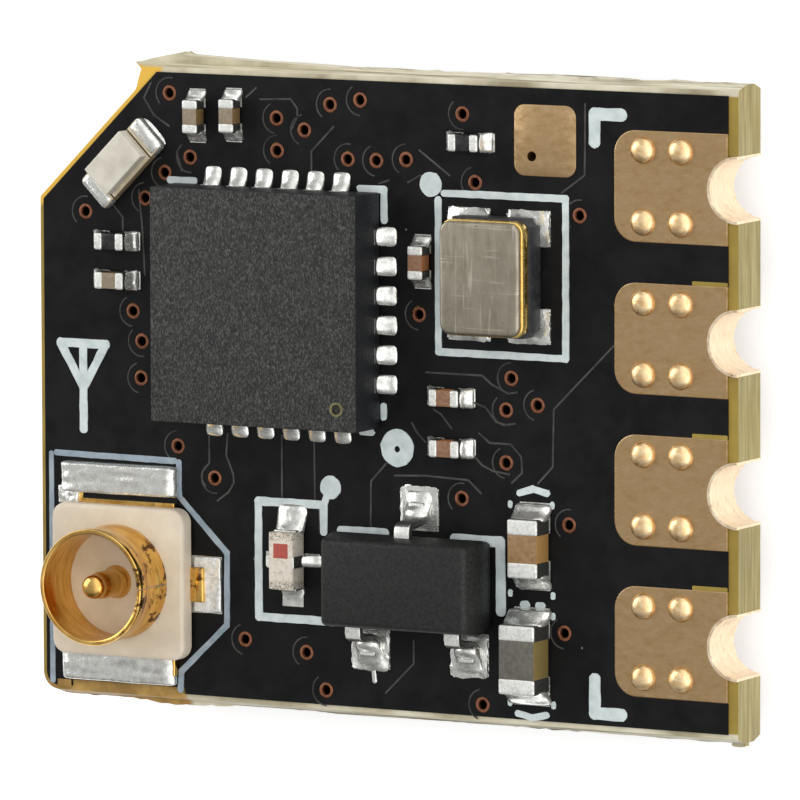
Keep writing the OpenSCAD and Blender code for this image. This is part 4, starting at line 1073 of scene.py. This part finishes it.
# %% Jack solder
def solder_bank(name, size, at, top, seed):
    """A broad bank of solder with a wavy top."""
    piece = slab(name, size, -0.03, top, at=at)
    pick(piece, "EDGE", lambda a, b: abs(a.z - b.z) < 1e-4)
    bpy.ops.mesh.subdivide(number_cuts=7)
    pick(piece, "VERT", lambda co: co.z > 0)
    shake(0.03, seed)
    fresh()
    return subdivided(piece, 2)


top_y, low_y = jack_at[1] + 1.3, jack_at[1] - 1.3
banks = [solder_bank("bank", (2.3, 0.54), (jack_at[0] - 0.1, top_y + 0.43), 0.26, 3),
    solder_bank("bank", (0.42, 0.34), (jack_at[0] - 1.06, top_y + 0.13), 0.24, 4),
    solder_bank("bank", (2.26, 0.56), (jack_at[0] - 0.13, low_y - 0.2), 0.22, 5),
    tinned_land((0.56, 0.98), near(jack_at, 1.58))]
dull = solder_bank("tail_bank", (0.56, 0.98), near(jack_at, 1.58), 0.065, 6)
hand_over(dull, tin, "solder", angle=60)
# Dark lacquer sheets: the thin one on the upper tab is a painted shadow under the solder bank, and the
# two flat ones lie round the jack.
flux = [slab("flux", (1.86, 0.1), 0.16, 0.178, 0, 0, (jack_at[0] + 0.14, top_y + 0.125)),
    slab("flux", (2.7, 0.9), -0.01, 0.0295, 0, 0, (jack_at[0], top_y + 0.35)),
    slab("flux", (2.7, 0.6), -0.01, 0.0295, 0, 0, (jack_at[0], low_y - 0.2))]
hand_over(join("jack_dark_sheets", flux), lacquer, "mask")
hand_solder(join("jack_banks", banks), "antenna_jack_solder")

# %% [markdown]
# ## Regulator
# A three-legged package: a moulded block that is widest at its parting line, with bent metal legs. The
# block starts as the thin parting band, whose top and bottom faces are extruded and narrowed. A leg is
# a strip extruded along its bent path and given its thickness with Solidify.

# %% Regulator body
reg_at = (0.710, -3.030)
case = block("regulator_case", (-1.45, -0.8, 0.475), (1.45, 0.8, 0.605))
for way in (1, -1):
    pick(case, "FACE", lambda c, n: n.z * way > 0.9)
    pull(0, 0, way * 0.425)
    bpy.ops.transform.resize(value=(1 - 0.14 / 2.9, 1 - 0.14 / 1.6, 1), center_override=(0, 0, 0))
fresh()
soften(case, 0.085, 4, 12)
hand_over(placed(case, (*reg_at, 0)), case_resin, "mould", "regulator_body")


# %% Regulator legs
def bent_strip(name, width, points, thick):
    """A strip of metal that follows (y, z) points."""
    fresh()
    bpy.ops.mesh.primitive_plane_add(size=width)
    piece = named(name)
    pick(piece, "VERT", lambda co: co.y > 0)
    bpy.ops.mesh.delete(type="VERT")
    select_all()
    bpy.ops.transform.translate(value=(0, points[0][0] + width / 2, points[0][1]))
    for a, b in zip(points, points[1:]):
        pull(0, b[0] - a[0], b[1] - a[1])
    fresh()
    finish_with(piece, "SOLIDIFY", thickness=thick, offset=0, use_even_offset=True)
    clean(piece)
    return soften(piece, 0.03, 3, 40)


leg = bent_strip("leg", 0.3, [(-0.06, 0.63), (0.1, 0.63), (0.155, 0.615), (0.195, 0.56), (0.225, 0.24),
    (0.25, 0.155), (0.3, 0.118), (0.55, 0.115)], 0.13)
leg_places = [(*near(reg_at, 0, 0.78), 0), (*near(reg_at, -0.95, -0.78), 180),
    (*near(reg_at, 0.95, -0.78), 180)]
hand_over(join("regulator_legs", copies(leg, leg_places)), tin, "tin", "regulator_leads")
reg_solder = []
for i, place in enumerate(leg_places):
    foot = ragged_patch((0.72, 0.72), (0, 0.46), 0.06, 60 + i)
    bank = fillet(0.46, 0.34, 0.27, 70 + i, 0.2)
    bank.location.y = 0.4
    land = tinned_land((0.72, 0.72), (0, 0.42))
    reg_solder += copies(join("foot", [foot, settle(bank), land]), [place])
spike = stroke((reg_at[0] - 0.9, -4.6), (reg_at[0] - 0.88, -4.8), 0.09, 0.0, 0.06)
hand_solder(join("regulator_feet", reg_solder + [soften(spike, 0.02, 2)]), "regulator_solder")

# %% [markdown]
# ## Filter
# A white ceramic block with a red square that marks its first side. Metal bands at its two ends and
# at the middle of its sides are soldered down, and its right side has a long bright tongue of solder.

# %% Filter pieces
filter_at = (-1.760, -2.810)
hand_over(slab("filter_block", (0.47, 0.98), 0.05, 0.45, 0, 0.025, filter_at, 3), white_ceramic,
    "white_ceramic", "filter_body")
hand_over(slab("filter_square", (0.28, 0.25), 0.44, 0.4545, 0, 0.004, near(filter_at, 0, 0.175), 1),
    red_ink, "red_mark", "filter_mark")
bands = [slab("band", (0.43, 0.05), 0.05, 0.3, 0, 0.015, near(filter_at, 0, s * 0.49)) for s in (1, -1)]
bands += [slab("band", (0.05, 0.2), 0.05, 0.452, 0, 0.015, near(filter_at, 0.235, -0.02)),
    slab("band", (0.12, 0.22), 0.05, 0.42, 0.05, 0.02, near(filter_at, -0.25, -0.02))]
hand_over(join("filter_bands", bands), tin, "tin", "filter_terminals")
filter_solder = []
for width, reach, climb, seed, right, up, turn in ((0.5, 0.42, 0.26, 81, 0, 0.5, 0),
        (0.42, 0.3, 0.11, 82, 0, -0.5, 180), (0.2, 0.34, 0.2, 83, 0.24, -0.02, -90),
        (0.2, 0.2, 0.3, 84, -0.24, -0.02, 90)):
    place = (*near(filter_at, right, up), turn)
    filter_solder += copies(fillet(width, reach, climb, seed), [place])
filter_solder += [tinned_land((0.44, 0.5), near(filter_at, 0, s * 0.62)) for s in (1, -1)]
filter_solder += [tinned_land((0.44, 0.2), near(filter_at, s * 0.35)) for s in (1, -1)]
hand_solder(join("filter_fillets", filter_solder), "filter_solder")

# %% [markdown]
# ## Status lamp
# A chip lamp lies along the cut corner: a thin carrier, a milky resin lens on it, and bright solder
# wrapped round its two ends. It is built along X and then turned with the corner.

# %% Lamp pieces
lamp_at = (-4.978, 3.798, 45)
carrier = slab("lamp_carrier", (1.5, 0.66), 0.05, 0.25, 0, 0.02)
carve(carrier, [block("slot", (x - 0.016, -0.5, 0.13), (x + 0.016, 0.5, 0.4)) for x in (-0.51, 0.51)])
hand_over(placed(carrier, lamp_at), lamp_board, "lamp_base", "status_lamp_base")
lens = slab("lamp_window", (0.97, 0.6), 0.24, 0.48, 0.02, 0.018, (0, 0.035))
hand_over(placed(lens, lamp_at), lens_resin, "lamp_lens", "status_lamp_lens")
ends = [slab("end", (0.3, 0.7), 0.02, 0.27, 0.1, 0.11, (s * 0.67, 0), 6) for s in (1, -1)]
hand_over(placed(join("lamp_ends", ends), lamp_at), solder, "tin", "status_lamp_terminals")
lamp_solder = chip_fillets(1.5, 0.5, 0.14, 0.1, 90)
hand_solder(placed(join("lamp_fillets", lamp_solder), lamp_at), "status_lamp_solder")
# Dark lacquer sheets that lie flat under the lamp's two ends.
lamp_dark_sheets = [slab("flux", (0.46, 0.78), -0.01, 0.029, at=(s * 0.7, 0)) for s in (1, -1)]
hand_over(placed(join("lamp_dark_sheets", lamp_dark_sheets), lamp_at), lacquer, "mask")

# %% [markdown]
# ## Chip capacitors and resistors
# All are the same thing in three sizes: a fired block with dipped metal ends. Each size is built along
# X, its body apart from its ends, because the ends and the solder of all the chips share a finish.

# %% Front chips
# A size is (length, width, height, length of an end, reach of the solder, far end of the land).
small = (0.58, 0.29, 0.28, 0.175, 0.15, 0.48)
middle = (1.0, 0.57, 0.45, 0.28, 0.22, 0.74)
bulk = (1.18, 0.68, 0.55, 0.28, 0.22, 0.83)
front_chips = [("capacitor_1", (-3.575, 4.655, 90), small, tan_ceramic),
    ("capacitor_2", (-2.865, 4.695, 90), small, tan_ceramic),
    ("capacitor_3", (-5.185, 1.790, 0), small, tan_ceramic),
    ("capacitor_4", (0.780, 2.365, 90), small, brown_ceramic),
    ("capacitor_5", (1.315, 0.110, 0), small, brown_ceramic),
    ("capacitor_6", (1.320, -0.746, 0), small, brown_ceramic),
    ("capacitor_7", (2.905, -2.325, 90), middle, ochre_ceramic),
    ("capacitor_8", (2.845, -4.190, 90), bulk, grey_ceramic),
    ("resistor_1", (-5.185, 2.460, 0), small, glaze), ("resistor_2", (1.697, 4.420, 0), small, glaze)]


def chip_body(size):
    length, width, height = size[:3]
    return slab("chip", (length - 0.06, width - 0.015), 0.06, 0.045 + height, 0, 0.015, steps=2)


def chip_ends(size):
    """The two dipped ends, a little fatter than the body."""
    length, width, height, cap = size[:4]
    ends = [slab("end", (cap, width + 0.012), 0.045, 0.053 + height, 0.045, 0.065,
        (s * (length - cap) / 2, 0), 5) for s in (1, -1)]
    return join("ends", ends)


end_caps, end_solder = [], []
for i, (name, place, size, look) in enumerate(front_chips):
    body = placed(chip_body(size), place)
    body.name = name + "_body"
    kind = "resistor_glaze" if look is glaze else "bulk_ceramic" if size is bulk else "capacitor_ceramic"
    hand_over(body, look, kind, name)
    end_caps += copies(chip_ends(size), [place])
    length, width, height, cap, reach, land = size
    joints = chip_fillets(length, width, height * 1.02, reach, 200 + 2 * i)
    joints += [tinned_land((land - 0.12, width + 0.04), (s * (land + 0.12) / 2, 0)) for s in (1, -1)]
    end_solder += copies(join("joint", joints), [place])
hand_over(join("front_chip_ends", end_caps), tin, "tin", "chip_end_caps")
hand_solder(join("front_chip_fillets", end_solder), "chip_solder")

# %% [markdown]
# ## The back
# The photographed side doesn't show what is behind, so the back is kept plain: the control chip that
# such a board needs, its crystal, and two rows of chips. They are built face up like the front ones
# and turned over to the back face.

# %% Control chip and crystal
mcu_at = (0.525, -0.025)
mcu = slab("control_case", (4.99, 4.99), 0.07, 0.90, 0.03, 0.02, steps=2)
hand_over(placed(mcu, (*mcu_at, 0), back=True), chip_resin, "mould", "mcu_body")
mcu_solder = fillets_at(row_places((0, 0), 2.5, 0.5, 8), 0.3, 0.29, 0.2, 300, 0.06)
mcu_joints = placed(join("joints", mcu_solder), (*mcu_at, 0), back=True)
mcu_joints.name = "control_fillets"
hand_solder(mcu_joints, "mcu_solder")

crystal_at = (-4.475, 1.025, 0)
crystal = placed(notched_tub("crystal_tub"), crystal_at, back=True)
hand_over(crystal, dark_ceramic, "dark_ceramic", "crystal_base")
crystal_lid = slab("crystal_cover", (1.42, 1.82), 0.445, 0.57, 0.17, 0.06)
hand_over(placed(crystal_lid, crystal_at, back=True), lid_metal, "lid_metal", "crystal_lid")
crystal_patches = [ragged_patch((0.8, 0.6), (sx * 0.57, sy * 0.82), 0.075, 340 + sx + 2 * sy)
    for sx in (1, -1) for sy in (1, -1)]
hand_solder(placed(join("crystal_patches", crystal_patches), crystal_at, back=True), "crystal_solder")

# %% Back chips
cap_places = [(x, 4.075, 90) for x in (-1.475, 0.025, 1.525, 3.025)]
cap_places += [(x, -1.725, 90) for x in (-4.375, -3.375)]
ohm_places = [(x, -4.125, 90) for x in (-1.275, -0.075, 1.125, 2.326)]
hand_over(join("back_capacitor_bodies", copies(chip_body(middle), cap_places, back=True)), tan_ceramic,
    "capacitor_ceramic", "back_capacitors")
hand_over(join("back_resistor_bodies", copies(chip_body(middle), ohm_places, back=True)), glaze,
    "resistor_glaze", "back_resistors")
hand_over(join("back_chip_ends", copies(chip_ends(middle), cap_places + ohm_places, back=True)), tin,
    "tin", "back_chip_end_caps")
back_joint = join("joint", chip_fillets(middle[0], middle[1], 0.27, 0.24, 360))
hand_solder(join("back_chip_fillets", copies(back_joint, cap_places + ohm_places, back=True)),
    "back_chip_solder")
